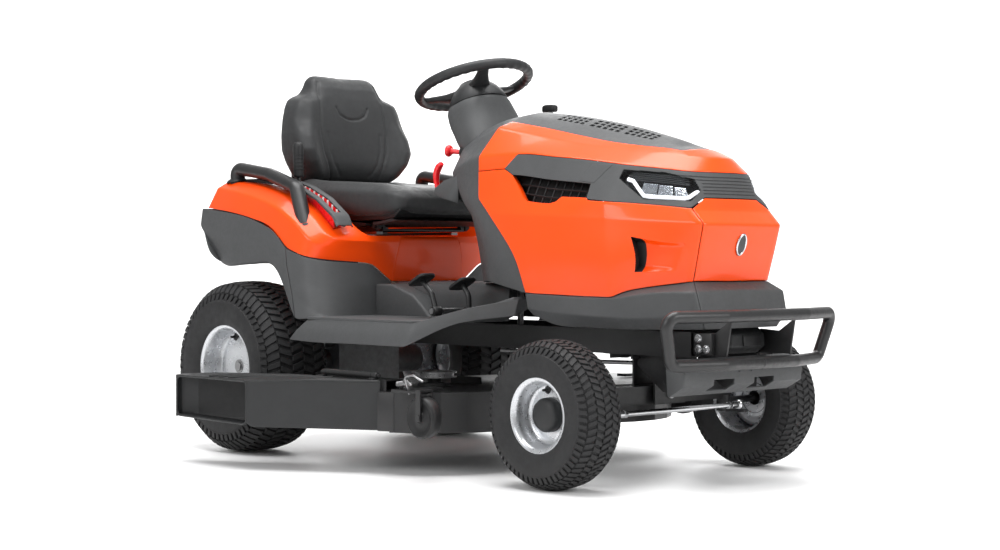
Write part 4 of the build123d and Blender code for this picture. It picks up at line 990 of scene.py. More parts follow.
# reflector steps along the bottom and three projector blocks
proj_ = Geo()
for v0, v1, u0, u1, o in ((4.72, 5.12, 3.34, 3.62, -11), (5.16, 5.56, 3.34, 3.60, -10), (5.60, 5.98, 3.36, 3.58, -9)):
    g = net(SH, [[(u0, v0), (u0, v1)], [(u1, v0 - .05), (u1, v1 - .05)]], 3, 3, off=o)
    proj_.join(g)
build("lamp_projectors", proj_.both(), MIRROR, "hood", "lens", thick=12, bevel=2.2, bseg=3, bangle=40)
fin = Geo()
for k in range(5):
    u = 3.66 + 0.045 * k
    a = 4.2 + k * 0.02
    pts = [SH.point(u, v, -7.0) for v in np.linspace(a, 6.1, 26)]
    fin.join(tube(pts, 1.5, 6, caps="flat"))
build("lamp_fins", fin.both(), GREY, "hood", "grey_plastic")
gd = [(3.655, 4.26), (3.62, 4.42), (3.27, 4.86), (3.255, 5.0), (3.29, 5.86), (3.34, 6.02), (3.46, 6.34), (3.47, 6.46)]
gp = [SH.point(u, v, -4.0) for u, v in curve_uv(SH, gd, 4)]
guide = tube(gp, 1.0, 12, caps="flat", section=[(5.2 * math.cos(t), 3.2 * math.sin(t)) for t in np.linspace(0, 2 * math.pi, 14, endpoint=False)], up=(0, -0.7, 0.1))
build("lamp_guides", guide.both(), PIPE, "hood", "lens", angle=60)
build("lamp_lenses", lens.both(), CLEAR, "hood", "lens", ["headlamps"], thick=1.6)

# ---- plain badge plate on the nose
def nose_pt(y, z, off=0.0):
    # point on the nose by height and side
    u = np.interp(z, [520, 602, 664, 699], [0, 1, 2, 3])
    v = 8 - abs(y) / 78.0
    p = SH.point(u, v, off)
    return p * np.array([1, 1 if y <= 0 else -1, 1])


badge = []
for k in range(40):
    t = 2 * math.pi * k / 40
    yy, zz = 15 * math.cos(t) * (1 + 0.06 * math.cos(2 * t)), 26 * math.sin(t)
    badge.append((yy, 612 + zz))
bp = [nose_pt(y, z, 2.2) for y, z in badge]
build("nose_badge_rim", tube(bp, 3.0, 10, closed=True), CHROME, "hood", "steel")
cen = np.mean([nose_pt(y, z, 1.2) for y, z in badge], 0)
g = Geo()
V = [cen] + [nose_pt(612 * 0 + y * 0.9, 612 + (z - 612) * 0.9, 1.4) for y, z in badge]
g.add(V, [(0, (k + 1) % 40 + 1, k + 1) for k in range(40)])
build("nose_badge_field", g, GREY, "hood", "grey_plastic", thick=1.2, recalc=False)

# ------------------------------------------------------------------ lower skirt
SK = Surf(K, su=(1, 2), sv=(3, 5), ru=4, rv=12, gv=True)
VN = 5.06
sk = net(SK, [[(u, v) for v in (0, 1, 2, 3, 4, 5, VN - 0.012)] for u in (0, 1, 2, 3)], 4.0, 7.0)
build("skirt_side", sk.both(), GREY, "chassis", "grey_plastic", ["hood_skirt"], thick=3.0, bevel=0.9, bangle=50)
skn = net(SK, [[(u, v) for v in (VN + 0.012, 6, 7)] for u in (0, 1, 2, 3)], 4.0, 7.0)
build("skirt_nose", skn.both(), GREY, "chassis", "grey_plastic", thick=3.0, bevel=0.9, bangle=50)

# ------------------------------------------------------------------ dash tower
SD = Surf(D, su=(2, 3, 4, 5), sv=(2,), ru=9, rv=22, gu=True, gv=True, flip=True)


def dash_tag(i, j, u, v):
    return 0


dn = net(SD, [[(u, v) for v in (0, 1, 2, 3, 4)] for u in range(9)], 6.0, 6.5, dash_tag)
build("dash", dn.both(), GREY, "chassis", "grey_plastic", ["dash_tower"], thick=3.0, bevel=0.9, bangle=50)
# ------------------------------------------------------------------ tyres
def smooth_prof(pts, step=3.0):
    pts = np.array(pts, float)
    L = np.concatenate([[0], np.cumsum(np.hypot(*np.diff(pts, axis=0).T))])
    n = int(L[-1] / step)
    t = np.linspace(0, L[-1], n)
    from_ = []
    for k in range(2):
        d = np.gradient(pts[:, k], L)
        i = np.clip(np.searchsorted(L, t, side="right") - 1, 0, len(L) - 2)
        h = L[i + 1] - L[i]
        q = (t - L[i]) / h
        from_.append((2 * q**3 - 3 * q**2 + 1) * pts[i, k] + (q**3 - 2 * q**2 + q) * h * d[i] + (-2 * q**3 + 3 * q**2) * pts[i + 1, k] + (q**3 - q**2) * h * d[i + 1])
    return np.array(from_).T


def tyre_geo(half, s_tread, rows, n, depth, c, bead, slant, gap, ring_r, step=2.5):
    # half: (radius, side) from the crown to the bead; s_tread: arc length where the bars end on the sidewall
    P = smooth_prof(half, 2.0)
    L = np.concatenate([[0], np.cumsum(np.hypot(*np.diff(P, axis=0).T))])
    T = np.gradient(P, axis=0)
    T /= np.linalg.norm(T, axis=1)[:, None]
    N = np.stack([T[:, 1], -T[:, 0]], 1)                  # outwards
    sh = s_tread

    def at(s):
        a = abs(s)
        p = np.array([np.interp(a, L, P[:, 0]), np.interp(a, L, P[:, 1])])
        nn = np.array([np.interp(a, L, N[:, 0]), np.interp(a, L, N[:, 1])])
        if s < 0:
            p, nn = p * [1, -1], nn * [1, -1]
        return p, nn
    floor = []
    for s in np.arange(0, L[-1] + 0.1, 2.6):
        p, nn = at(s)
        d = depth * np.clip((sh - s) / 7.0 + 0.0, 0, 1)
        ringd = 1.1 * math.exp(-((p[0] - ring_r) / 2.0) ** 2)
        floor.append(p - nn * (d - ringd))
    floor.append(P[-1])
    prof = [(p[0], -p[1]) for p in floor[::-1]] + [(p[0], p[1]) for p in floor[1:]]
    inner = [(bead, prof[-1][1] - 3), (bead, prof[0][1] + 3)]
    prof = prof + inner
    g = lathe(prof + [prof[0]], 120, c, (0, 1, 0))
    lug = Geo()
    # rows of bars: boundaries in arc length
    edge = sh - 23.0
    w = 2 * edge / rows
    cells = [(-sh, -edge - gap / 2)] + [(-edge + k * w + gap / 2, -edge + (k + 1) * w - gap / 2) for k in range(rows)] + [(edge + gap / 2, sh)]
    pitch = 2 * math.pi / n
    c = np.asarray(c, float)
    for r_, (s0, s1) in enumerate(cells):
        last = r_ in (0, len(cells) - 1)
        sl = slant * (1 if r_ % 2 else -1) * (0.35 if last else 1)
        ks = 4 if last else 2
        ss = np.linspace(s0, s1, ks)
        R0 = at(0)[0][0]
        for k in range(n):
            th = pitch * (k + (0.5 if r_ % 2 else 0.0))
            hw = pitch * 0.31
            tp = hw - 0.9 / R0
            rings = []
            for off, ww, es in ((-depth - 0.8, hw, 0.0), (-1.1, hw, 0.0), (0.0, tp, 0.9)):
                row_a, row_b = [], []
                for q, s in enumerate(ss):
                    se = s + (es if q == 0 else (-es if q == ks - 1 else 0))
                    if last:
                        se = s + (es if (q == 0 and r_) or (q == 0 and not r_) else (-es if q == ks - 1 else 0))
                    p, nn = at(se)
                    f = 1.0
                    if last:                                # bars sink into the sidewall towards their ends
                        out = (q / (ks - 1)) if r_ else 1 - q / (ks - 1)
                        f = 1 - 0.0 * out
                    p = p + nn * off * f
                    fr = (q / (ks - 1) - 0.5) * 2
                    dth = sl * fr / R0
                    row_a.append((p, th + dth - ww))
                    row_b.append((p, th + dth + ww))
                rings.append(row_a + row_b[::-1])
            V = []
            for rg in rings:
                for p, t in rg:
                    V.append(c + np.array([p[0] * math.cos(t), p[1], p[0] * math.sin(t)]))
            m_ = 2 * ks
            F = []
            for a in range(2):
                for b in range(m_):
                    F.append((a * m_ + b, a * m_ + (b + 1) % m_, (a + 1) * m_ + (b + 1) % m_, (a + 1) * m_ + b))
            for b in range(ks - 1):
                F.append((2 * m_ + b, 2 * m_ + b + 1, 2 * m_ + m_ - 2 - b, 2 * m_ + m_ - 1 - b))
            lug.add(V, F)
    return g, lug


FT = [(188, 0), (187, 20), (184, 38), (178, 52), (168, 62), (155, 69), (140, 72.5), (125, 72.5), (112, 69), (100, 64), (93, 58.5), (89.6, 53)]
RT = [(253, 0), (252, 35), (248.5, 65), (241, 87), (227, 102), (208, 111), (185, 114.6), (160, 114.6), (142, 111.5), (129, 105), (122, 98), (119.2, 91)]
# ------------------------------------------------------------------ rims
FRIM = [(86, -55), (94, -58.5), (95.8, -57), (95, -54), (90, -52), (86.5, -50), (86, -30), (86, 10), (86.5, 48), (90, 52), (94.5, 54.5), (96, 58), (94.2, 60.6), (90, 60.5), (84.5, 57),
        (81.5, 52), (79.6, 45), (79, 30), (78, 19), (75, 12.5), (70, 9.5), (64, 9.6), (58, 11), (50, 11.5), (40, 11.2), (30, 10.6), (20.5, 10.4), (20.5, 7.4)]
RRIM = [(115, -94), (123, -97.5), (125, -96), (124, -92), (119.5, -90), (115.5, -88), (115, -40), (115, 20), (115.5, 86), (119.5, 90), (124, 92.5), (125.6, 96.5), (123, 99.6), (118.5, 99.4),
        (112.5, 93), (110, 86), (107, 79), (106, 58), (103, 47), (97, 41), (92, 42), (87, 46), (80, 48.5), (62, 49), (45, 47.5), (30, 47), (13.2, 47), (13.2, 44)]
for nm, s in (("left", 1), ("right", -1)):
    for who, half, st, rows, n, dep, c, bead, sl, gap, rr, rimp in (
            ("rear", RT, 142.0, 6, 60, 7.0, (0, 393 * s, 253), 118.6, 6.2, 2.8, 196, RRIM),
            ("front", FT, 86.0, 5, 60, 5.2, (1262, 395 * s, 188), 89.2, 4.2, 2.4, 152, FRIM)):
        body = who + "_wheel_" + nm
        g, lug = tyre_geo(half, st, rows, n, dep, c, bead, sl, gap, rr)
        build(who + "_tyre_body_" + nm, g, RUBBER, body, "tyre", [who + "_tyre_" + nm], recalc=True, angle=50)
        build(who + "_tread_" + nm, lug, RUBBER, body, "tyre", recalc=True, angle=30)
        d = (0, s, 0)
        rg = lathe(rimp, 96, c, d)
        o = build(who + "_rim_face_" + nm, rg, SILVER, body, "rim_paint", [who + "_rim_" + nm], thick=-2.6, angle=50)
        # valve stem and its dark boot near the top of the disc
        cc = np.array(c, float)
        rv, hv = (62, 12) if who == "front" else (88, 50)
        th = math.radians(100)
        base = cc + np.array([rv * math.cos(th), s * (hv - 2), rv * math.sin(th)])
        boot = lathe([(0.01, 8), (4.5, 8), (6, 5), (9, 2), (11.5, 0.6), (12, -2)], 24, base, d)
        boot.V = [np.array([[q[0] * 1, q[1], q[2]] for q in v]) for v in boot.V]
        build(who + "_valve_boot_" + nm, boot, BLACK, body, "rubber", recalc=False)
        build(who + "_valve_cap_" + nm, cyl(base + np.array([0, s * 7.0, 0]), d, 3.6, 12, 16, e=0.8), BLACK, body, "rubber")
        if who == "front":
            cap = lathe([(43, 8), (43.4, 24), (42.6, 31), (39, 37), (31, 41.5), (18, 43.6), (0.01, 44.2)], 56, c, d)
            build("hub_cap_" + nm, cap, DARK, body, "dark_plastic", angle=60, thick=-1.5)
        else:
            build("rear_hub_end_" + nm, cyl(cc + np.array([0, s * 44.0, 0]), d, 13.2, 10, 32, e=1.2), STEEL, body, "steel")
            build("rear_hub_washer_" + nm, cyl(cc + np.array([0, s * 46.0, 0]), d, 20.0, 3, 32, e=0.6), STEEL, body, "steel")
# ------------------------------------------------------------------ padded seat parts
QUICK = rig.quick()


def pad_form(name, rows, body, rep, fill, weld_depth, seams, voxel=0.006, seed=3):
    # rows: closed loops of points laid out one after another, forming a closed body; seams: list of (polyline)
    nr, nc = len(rows), len(rows[0])
    V = np.array([p for r in rows for p in r], float)
    F = grid_faces(nr, nc, False, True)
    F.append(tuple(range(nc))[::-1])
    F.append(tuple((nr - 1) * nc + k for k in range(nc)))
    g = Geo().add(V, F)
    me = bpy.data.meshes.new(name)
    me.from_pydata(m(g.verts()).tolist(), [], g.F)
    bm = bmesh.new()
    bm.from_mesh(me)
    bmesh.ops.remove_doubles(bm, verts=bm.verts, dist=1e-5)
    bmesh.ops.recalc_face_normals(bm, faces=bm.faces)
    bm.to_mesh(me)
    bm.free()
    o = bpy.data.objects.new(name, me)
    SCENE.collection.objects.link(o)
    r = o.modifiers.new("remesh", "REMESH")
    r.mode = "VOXEL"
    r.voxel_size = voxel
    r.use_smooth_shade = True
    sm = o.modifiers.new("smooth", "SMOOTH")
    sm.factor, sm.iterations = 0.5, 6
    dg = bpy.context.evaluated_depsgraph_get()
    new = bpy.data.meshes.new_from_object(o.evaluated_get(dg))
    o.modifiers.clear()
    o.data = new
    rest = np.array([v.co[:] for v in new.vertices])
    nrm = np.array([v.normal[:] for v in new.vertices])
    if not QUICK:
        c = o.modifiers.new("cloth", "CLOTH")
        st = c.settings
        st.quality = 5
        st.mass = 0.3
        st.tension_stiffness = st.compression_stiffness = 18
        st.shear_stiffness = 6
        st.bending_stiffness = 1.5
        st.use_pressure = True
        st.uniform_pressure_force = 4.0
        st.effector_weights.gravity = 0
        c.collision_settings.use_collision = False
        c.collision_settings.use_self_collision = False
        vg = o.vertex_groups.new(name="pin")
        lo = rest[:, 2].min()
        idx = [i for i, q in enumerate(rest) if weld_depth(q)]
        vg.add([int(i) for i in idx], 1.0, "REPLACE")
        st.vertex_group_mass = "pin"
        c.point_cache.frame_start, c.point_cache.frame_end = 1, 14
        SCENE.frame_start, SCENE.frame_end = 1, 14
        for f in range(1, 15):
            SCENE.frame_set(f)
        dg = bpy.context.evaluated_depsgraph_get()
        ev = bpy.data.meshes.new_from_object(o.evaluated_get(dg))
        got = np.array([v.co[:] for v in ev.vertices])
        o.modifiers.clear()
        SCENE.frame_set(1)
        mv = got - rest
        ed_ = np.array([e.vertices[:] for e in new.edges])
        for _ in range(14):
            acc, cnt = mv.copy(), np.ones(len(mv))
            np.add.at(acc, ed_[:, 0], mv[ed_[:, 1]])
            np.add.at(acc, ed_[:, 1], mv[ed_[:, 0]])
            np.add.at(cnt, ed_.ravel(), 1.0)
            mv = acc / cnt[:, None]
        ln = np.linalg.norm(mv, axis=1)
        cap = 0.006
        mv *= (cap * np.tanh(ln / cap) / np.maximum(ln, 1e-9))[:, None]
        rest = rest + mv
        new.vertices.foreach_set("co", rest.ravel())
        new.update()
        bpy.data.meshes.remove(ev)
    q = o.modifiers.new("sub", "SUBSURF")
    q.levels = q.render_levels = 1
    dg = bpy.context.evaluated_depsgraph_get()
    new2 = bpy.data.meshes.new_from_object(o.evaluated_get(dg))
    o.modifiers.clear()
    o.data = new2
    # seams: the surface drawn in along lines
    P = np.array([v.co[:] for v in new2.vertices])
    Nn = np.array([v.normal[:] for v in new2.vertices])
    D_ = np.zeros(len(P))
    for line, width, depth, sel in seams:
        L_ = m(np.array(line))
        best = np.full(len(P), 1e9)
        for a, b in zip(L_[:-1], L_[1:]):
            ab = b - a
            t = np.clip(((P - a) @ ab) / (ab @ ab), 0, 1)
            best = np.minimum(best, np.linalg.norm((P - a - t[:, None] * ab) * sel, axis=1))
        x = best * 1000 / width
        D_ = np.maximum(D_, depth * np.exp(-(x ** 2)))
    P = P - Nn * (D_ / 1000)[:, None]
    new2.vertices.foreach_set("co", P.ravel())
    new2.update()
    new2.materials.append(VINYL)
    new2.polygons.foreach_set("use_smooth", np.ones(len(new2.polygons), bool))
    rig.ride(o, body)
    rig.slot(o, "seat_vinyl")
    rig.replaces(o, *rep)
    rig.padded(o, fill)
    return o


def loop_x(x, hw, z0, z1, crown, n=44, sq=0.32, bol=0.0, dish=0.0):
    # closed section across the seat: flat-bottomed, crowned top with bolsters at the sides
    out = []
    for k in range(n):
        t = 2 * math.pi * k / n
        cy, cz = math.cos(t), math.sin(t)
        ex = sq
        y = hw * math.copysign(abs(cy) ** ex, cy)
        zz = math.copysign(abs(cz) ** ex, cz)
        mid, h = (z0 + z1) / 2, (z1 - z0) / 2
        z = mid + h * zz
        if cz > 0:
            q = abs(y) / hw
            z += crown * (1 - q * q) * 1.0
            z += bol * math.exp(-((q - 0.80) / 0.15) ** 2) - dish * math.exp(-((q) / 0.5) ** 2)
        out.append((x, y, z))
    return out


rows = []
for x, hw, z0, z1 in ((-66, 170, 716, 776), (-60, 200, 708, 792), (-42, 214, 705, 802), (0, 222, 702, 804), (60, 227, 701, 798), (140, 231, 699, 792), (220, 233, 697, 788), (300, 233, 693, 784),
                      (370, 231, 692, 780), (412, 226, 696, 775), (442, 218, 702, 767), (460, 205, 710, 757), (469, 186, 718, 747)):
    rows.append(loop_x(x, hw, z0, z1, 4.0, bol=8.0 if 0 <= x <= 400 else 3.0, dish=6.0 if 20 < x < 380 else 0.0))
CS = []
Z_ = 795


def topline(pts):
    # a line on the cushion top
    return [(x, y, np.interp(x, [-60, 60, 220, 300, 415, 471], [784, 796, 790, 785, 774, 740])) for x, y in pts]


flat = np.array([1, 1, 0.35])
side_l = topline([(-60, -150), (80, -158), (240, -160), (360, -150), (420, -120), (455, -90)])
seams = [(side_l, 3.4, 5.0, flat), ([(x, -y, z) for x, y, z in side_l], 3.4, 5.0, flat)]
for xq in (60, 330):
    seams.append((topline([(xq, -150), (xq + 10, -75), (xq + 14, 0), (xq + 10, 75), (xq, 150)]), 3.8, 3.6, flat))
# points of a loop round the cushion's widest line; no welt is built from them
wl = []
for k in range(80):
    t = 2 * math.pi * k / 80
    wl.append((203 + 262 * math.copysign(abs(math.cos(t)) ** 0.3, math.cos(t)), 230 * math.copysign(abs(math.sin(t)) ** 0.3, math.sin(t)), 0))
CUSH = pad_form("seat_cushion_cover", rows, "seat", ["seat_cushion"], 0.6, lambda q: q[2] < 0.706, seams)
wl2 = [(x, y * 1.0, np.interp(x, [-60, 60, 220, 300, 415, 471], [736, 738, 735, 730, 729, 730])) for x, y, z in wl]

# back rest: sections stacked upwards, leaning back
rows = []
for z, hw, xb, xf in ((806, 150, -88, -8), (814, 168, -102, 2), (830, 184, -109, 7), (868, 208, -111, 9), (905, 222, -112, 5), (950, 223, -113, -1), (1000, 217, -114, -8), (1040, 207, -115, -14), (1062, 196, -115, -19),
                      (1074, 176, -115, -22), (1084, 150, -114, -26), (1104, 137, -112, -32), (1126, 130, -107, -46), (1138, 120, -101, -58), (1145, 104, -94, -70)):
    lo = []
    n = 60
    wing = 30 * math.exp(-((z - 905) / 75.0) ** 2) + 6 * (820 < z < 1070)
    for k in range(n):
        t = 2 * math.pi * k / n
        cy, cx = math.cos(t), math.sin(t)
        y = hw * math.copysign(abs(cy) ** 0.42, cy)
        x = (xb + xf) / 2 + (xf - xb) / 2 * math.copysign(abs(cx) ** 0.42, cx)
        q = abs(y) / hw
        if cx > -0.15:
            e = np.clip((q - 0.60) / 0.26, 0, 1)
            x += wing * e * e * (3 - 2 * e) * np.clip((cx + 0.15) / 0.3, 0, 1)
        if cx > 0:
            x -= 5 * math.exp(-(q / 0.5) ** 2)
        lo.append((x, y, z))
    rows.append(lo)


def backline(pts):
    return [(np.interp(z, [808, 880, 1000, 1078, 1124, 1146], [2, 12, -4, -20, -42, -66]), y, z) for y, z in pts]


fl2 = np.array([0.30, 1, 1])
bs = backline([(-92, 812), (-104, 850), (-122, 900), (-130, 960), (-128, 1010), (-124, 1050), (-122, 1090), (-112, 1120)])
seams = [(bs, 4.2, 4.5, fl2), ([(x, -y, z) for x, y, z in bs], 4.2, 4.5, fl2)]
seams.append((backline([(-62, 1042), (-50, 1020), (-25, 1008), (0, 1005), (25, 1008), (50, 1020), (62, 1042)]), 3.4, 4.2, fl2))
bs2 = backline([(-60, 830), (-86, 866), (-100, 910), (-104, 960)])
seams += [(bs2, 5.5, 2.4, fl2), ([(x, -y, z) for x, y, z in bs2], 5.5, 2.4, fl2)]
BACK = pad_form("seat_back_cover", rows, "seat", ["seat_back"], 0.6, lambda q: q[0] < (m((-107, 0, 0))[0]), seams)

# seat pan: pressed tray under the cushion with a turned-up lip
pan = Geo()
for x, hw, z in ():
    pass
tray = prismg([(-66, 699), (-66, 712), (330, 700), (420, 706), (452, 718), (456, 712), (430, 692), (380, 686), (345, 687), (300, 685), (120, 687)], -206, 206)
build("seat_pan_tray", tray, BLACK, "seat", "dark_plastic", bevel=3.0, bseg=3, bangle=25)

# ------------------------------------------------------------------ steering wheel
CU = np.array([-math.sin(math.radians(18.7)), 0, math.cos(math.radians(18.7))])
CX = np.array([math.cos(math.radians(18.7)), 0, math.sin(math.radians(18.7))])
CY = np.array([0.0, 1, 0])
C0 = np.array([546.0, 0, 1079])
n = 144
path, rad = [], []
for k in range(n):
    t = 2 * math.pi * k / n
    path.append(C0 + (CX * math.cos(t) + CY * math.sin(t)) * 162.5)
g = Geo()
sec = 18
V = []
for k in range(n):
    t = 2 * math.pi * k / n
    a = math.degrees(t) % 360
    # finger scallops on the underside over the rim, except at the spokes
    fade = 1.0
    for sp in (90, 210, 330):
        dd = abs((a - sp + 180) % 360 - 180)
        fade = min(fade, np.clip((dd - 9) / 8, 0, 1))
    sc = 0.9 * math.cos(t * 36) * fade
    o = CX * math.cos(t) + CY * math.sin(t)
    for q in range(sec):
        f = 2 * math.pi * q / sec
        r = 15.2 + (sc if math.sin(f) < 0.35 else 0.0) - (0.35 if 0.9 < math.sin(f) else 0)
        V.append(C0 + o * (162.5 + r * 0.94 * math.cos(f)) + CU * (r * math.sin(f)))
g.add(V, grid_faces(n, sec, True, True))
build("steering_rim", g, DARK, "steering", "black_steel", ["steering_wheel"], recalc=True, angle=60)
sp_ = Geo()
for a in (90, 210, 330):
    t = math.radians(a)
    o = CX * math.cos(t) + CY * math.sin(t)
    tt = -CX * math.sin(t) + CY * math.cos(t)
    P = []
    L = [(30, 36, 15, -20), (56, 31, 14, -21), (84, 24, 11, -17), (112, 18, 8.5, -10), (138, 15, 7, -4), (155, 16, 7, 0)]
    for r, w, h, dz in L:
        c = C0 + o * r + CU * dz
        ring_ = []
        for k in range(20):
            f = 2 * math.pi * k / 20
            ring_.append(c + tt * (w * math.copysign(abs(math.cos(f)) ** 0.55, math.cos(f))) + CU * (h * math.copysign(abs(math.sin(f)) ** 0.55, math.sin(f))))
        P.append(ring_)
    q = Geo().add([p for r in P for p in r], grid_faces(len(P), 20, False, True) + [tuple(range(20))[::-1], tuple((len(P) - 1) * 20 + k for k in range(20))])
    sp_.join(q)
build("steering_spokes", sp_, DARK, "steering", "black_steel", recalc=True, angle=55)
hub = lathe([(0.01, 9), (22, 8.6), (36, 6.5), (44, 2), (50, -4), (60, -12), (70, -24), (80, -40), (86, -56), (86.5, -60), (82, -62), (0.01, -62)], 64, C0, CU)
build("steering_hub", hub, DARK, "steering", "black_steel", recalc=True, angle=24)
build("steering_hub_ring", lathe([(38, 5.2), (40.5, 5.4), (43, 3.8), (43.5, 1.6), (38, 1.6), (38, 5.2)], 64, C0, CU), BLACK, "steering", "black_steel", recalc=True)

# column shroud, running down into the dash
SHR = [(1022, 565, 80, 84, 0.9), (1013, 569, 81, 90, 0.84), (1000, 575, 79, 97, 0.78), (975, 590, 76, 106, 0.72), (950, 608, 74, 114, 0.68), (925, 628, 71, 120, 0.64), (900, 645, 68, 124, 0.6), (876, 660, 64, 122, 0.6)]
V, ns = [], 64
for z, xc, a_, b_, e in SHR:
    for k in range(ns):
        t = 2 * math.pi * k / ns
        V.append((xc + a_ * math.copysign(abs(math.cos(t)) ** e, math.cos(t)), b_ * math.copysign(abs(math.sin(t)) ** e, math.sin(t)), z + 0.34 * (xc - 565 - a_ * math.cos(t)) * 0.0 - 0.30 * a_ * math.copysign(abs(math.cos(t)) ** e, math.cos(t)) * (-1.0) * max(0.0, (z - 900) / 122.0)))
sh_ = Geo().add(V, [f[::-1] for f in grid_faces(len(SHR), ns, False, True)])
build("column_shroud", sh_, GREY, "chassis", "grey_plastic", ["steering_column"], thick=3.0, bevel=1.0, bangle=50, angle=30, recalc=False)
# ------------------------------------------------------------------ rear fender, covers
SF = Surf(F, su=(1, 2, 3, 4), sv=(4, 6), ru=5, rv=16, gu=False)
fen = net(SF, [[(u, v) for v in (0, 1, 2, 3, 4, 5, 6, 7)] for u in (0, 1, 2, 3)], 5.0, 6.5)


def cut_slot(o, cutter):
    # a closed tool taken out of a finished piece
    c = build("cutter_tmp", cutter, BLACK, "chassis", recalc=True)
    q = o.modifiers.new("cut", "BOOLEAN")
    q.operation = "DIFFERENCE"
    q.solver = "EXACT"
    q.object = c
    dg = bpy.context.evaluated_depsgraph_get()
    new = bpy.data.meshes.new_from_object(o.evaluated_get(dg))
    o.modifiers.clear()
    old = o.data
    o.data = new
    bpy.data.meshes.remove(old)
    bpy.data.objects.remove(c, do_unlink=True)
    return o


SLOT_TOOL = boxg(112, 316, -338, -309, 600, 880)
for side in (-1, 1):
    g = fen if side < 0 else fen.mirrored()
    o = build("fender_" + ("right" if side < 0 else "left"), g, ORANGE, "chassis", "orange_gloss", ["rear_fender"] if side < 0 else (), thick=3.2, bevel=1.0, bangle=50)
    if side < 0:
        cut_slot(o, SLOT_TOOL)
inner = net(SF, [[(u, v) for v in (0, 1, 2, 3, 4, 5, 6, 7)] for u in (3, 4, 5)], 9.0, 9.0)
build("seat_base_floor", inner.both(), ORANGE, "chassis", "orange_gloss", thick=3.0, bevel=0.8, bangle=50)
SFW = Surf(FW, su=(), sv=(3,), ru=8, rv=12, gu=True)
fw_ = net(Surf([list(c) for c in zip(*FW)], su=(2, 3), sv=(), ru=14, rv=14, gv=True), [[(u, v) for v in (0, 1)] for u in (0, 1, 2, 3, 4)], 5.0, 7.0)
build("seat_base_front", fw_.both(), ORANGE, "chassis", "orange_gloss", thick=3.2, bevel=0.8, bangle=50)
SG = Surf(G, su=(1, 2), sv=(4, 6), ru=9, rv=16)
NS_ = [[(u, v) for v in (0, 1, 2, 3, 3.96)] for u in (0, 1, 2, 3)]
NS2 = [[(u, v) for v in (3.99, 4.5, 5, 6, 7)] for u in (0, 1, 2, 3)]
build("side_cover_rear", net(SG, NS_, 5.0, 7.0).both(), GREY, "chassis", "grey_plastic", ["lower_covers"], thick=3.2, bevel=1.0, bangle=50)
build("side_cover_front", net(SG, NS2, 5.0, 7.0).both(), GREY, "chassis", "grey_plastic", thick=3.2, bevel=1.0, bangle=50)
SR = Surf(RC, su=(1,), sv=(1,), ru=9, rv=9, gu=True)
rr0 = [[(u, v) for v in (0, 1, 2, 3)] for u in (0, 1, 2)]
try:
    build("rear_cover", net(Surf([list(c) for c in RC], su=(1,), sv=(1,), ru=20, rv=10, gu=True, flip=True), rr0, 9.0, 7.0).both(), GREY, "chassis", "grey_plastic", thick=3.2, bevel=0.8, bangle=50)
except Exception as e_:
    print("rear cover", e_)
RFT = [[(-125, -268, 812), (-128, -385, 806), (-140, -418, 785), (-178, -425, 726)],
       [(-200, -240, 812), (-202, -240, 806), (-207, -240, 785), (-213, -240, 728)],
       [(-206, 0, 812), (-208, 0, 806), (-212, 0, 785), (-217, 0, 729)]]
build("fender_tail", net(Surf(RFT, su=(1,), sv=(1, 2), ru=20, rv=8, gu=True, flip=True), [[(u, v) for v in (1, 2, 3)] for u in (0, 1, 2)], 9.0, 6.0).both(), ORANGE, "chassis", "orange_gloss", thick=3.0, bevel=0.8, bangle=50)

# ---- footwell: two footrests, mats and tunnel
fo = Geo()
fr_out = [(364, -166), (364, -470), (800, -470), (1000, -293), (1010, -284), (1010, -166)]
SLP = [(364, 402), (842, 402), (960, 446), (1010, 468)]


def zf(x):
    return np.interp(x, [364, 842, 960, 1010], [402, 402, 446, 468])


# plate as a height field trimmed by the diagonal corner
def plate(x0, x1, y_in, n=70, ny=26, off=0.0):
    V = []
    for x in np.linspace(x0, x1, n):
        yo = -470.0 if x < 800 else -470 + (x - 800) * (186.0 / 210)
        for q in np.linspace(0, 1, ny):
            V.append((x, y_in + (yo - y_in) * q, zf(x) + off))
    return Geo().add(V, [f[::-1] for f in grid_faces(n, ny)])


build("footrest_plate", plate(364, 1008, -166).both(), GREY, "chassis", "grey_plastic", ["footwell"], thick=8, bevel=1.2, bangle=40, recalc=False)
LIPG = [[(302, -486, 345), (377, -490, 342), (590, -490, 342), (803, -490, 342), (905, -405, 402), (1010, -285, 425)],
        [(330, -482, 372), (388, -484, 372), (590, -484, 372), (812, -486, 372), (915, -400, 421), (1012, -282, 446)],
        [(362, -470, 400), (400, -470, 402), (590, -470, 403), (822, -474, 404), (925, -391, 442), (1015, -276, 469)]]
SL = Surf(LIPG, su=(), sv=(3,), ru=6, rv=16)
build("footrest_edge", net(SL, [[(u, v) for v in range(6)] for u in (0, 1, 2)], 4.0, 7.0).both(), GREY, "chassis", "grey_plastic", thick=3.2, bevel=1.2, bangle=40)
ribs = Geo()
for k in range(17):
    x = 405 + k * 25
    for y0, y1 in ((-452, -330), (-318, -196)):
        yy0 = y0 if x < 780 else max(y0, -452 + (x - 780) * 0.9)
        if y1 - yy0 < 20:
            continue
        b = prismg([(x - 6, zf(x) + 3.0), (x - 4, zf(x) + 6.2), (x + 4, zf(x) + 6.2), (x + 6, zf(x) + 3.0)], yy0, y1)
        ribs.join(b)
mat_ = Geo()
for y0, y1 in ((-458, -325), (-322, -190)):
    mat_.join(boxg(392, 832, y0, y1, 401.5, 404.2))
build("footrest_mats", mat_.both(), BLACK, "chassis", "rubber", recalc=True, bevel=1.5, bseg=2)
build("footrest_mat_ribs", ribs.both(), BLACK, "chassis", "rubber", recalc=True, bevel=0.6)
tun = Geo()
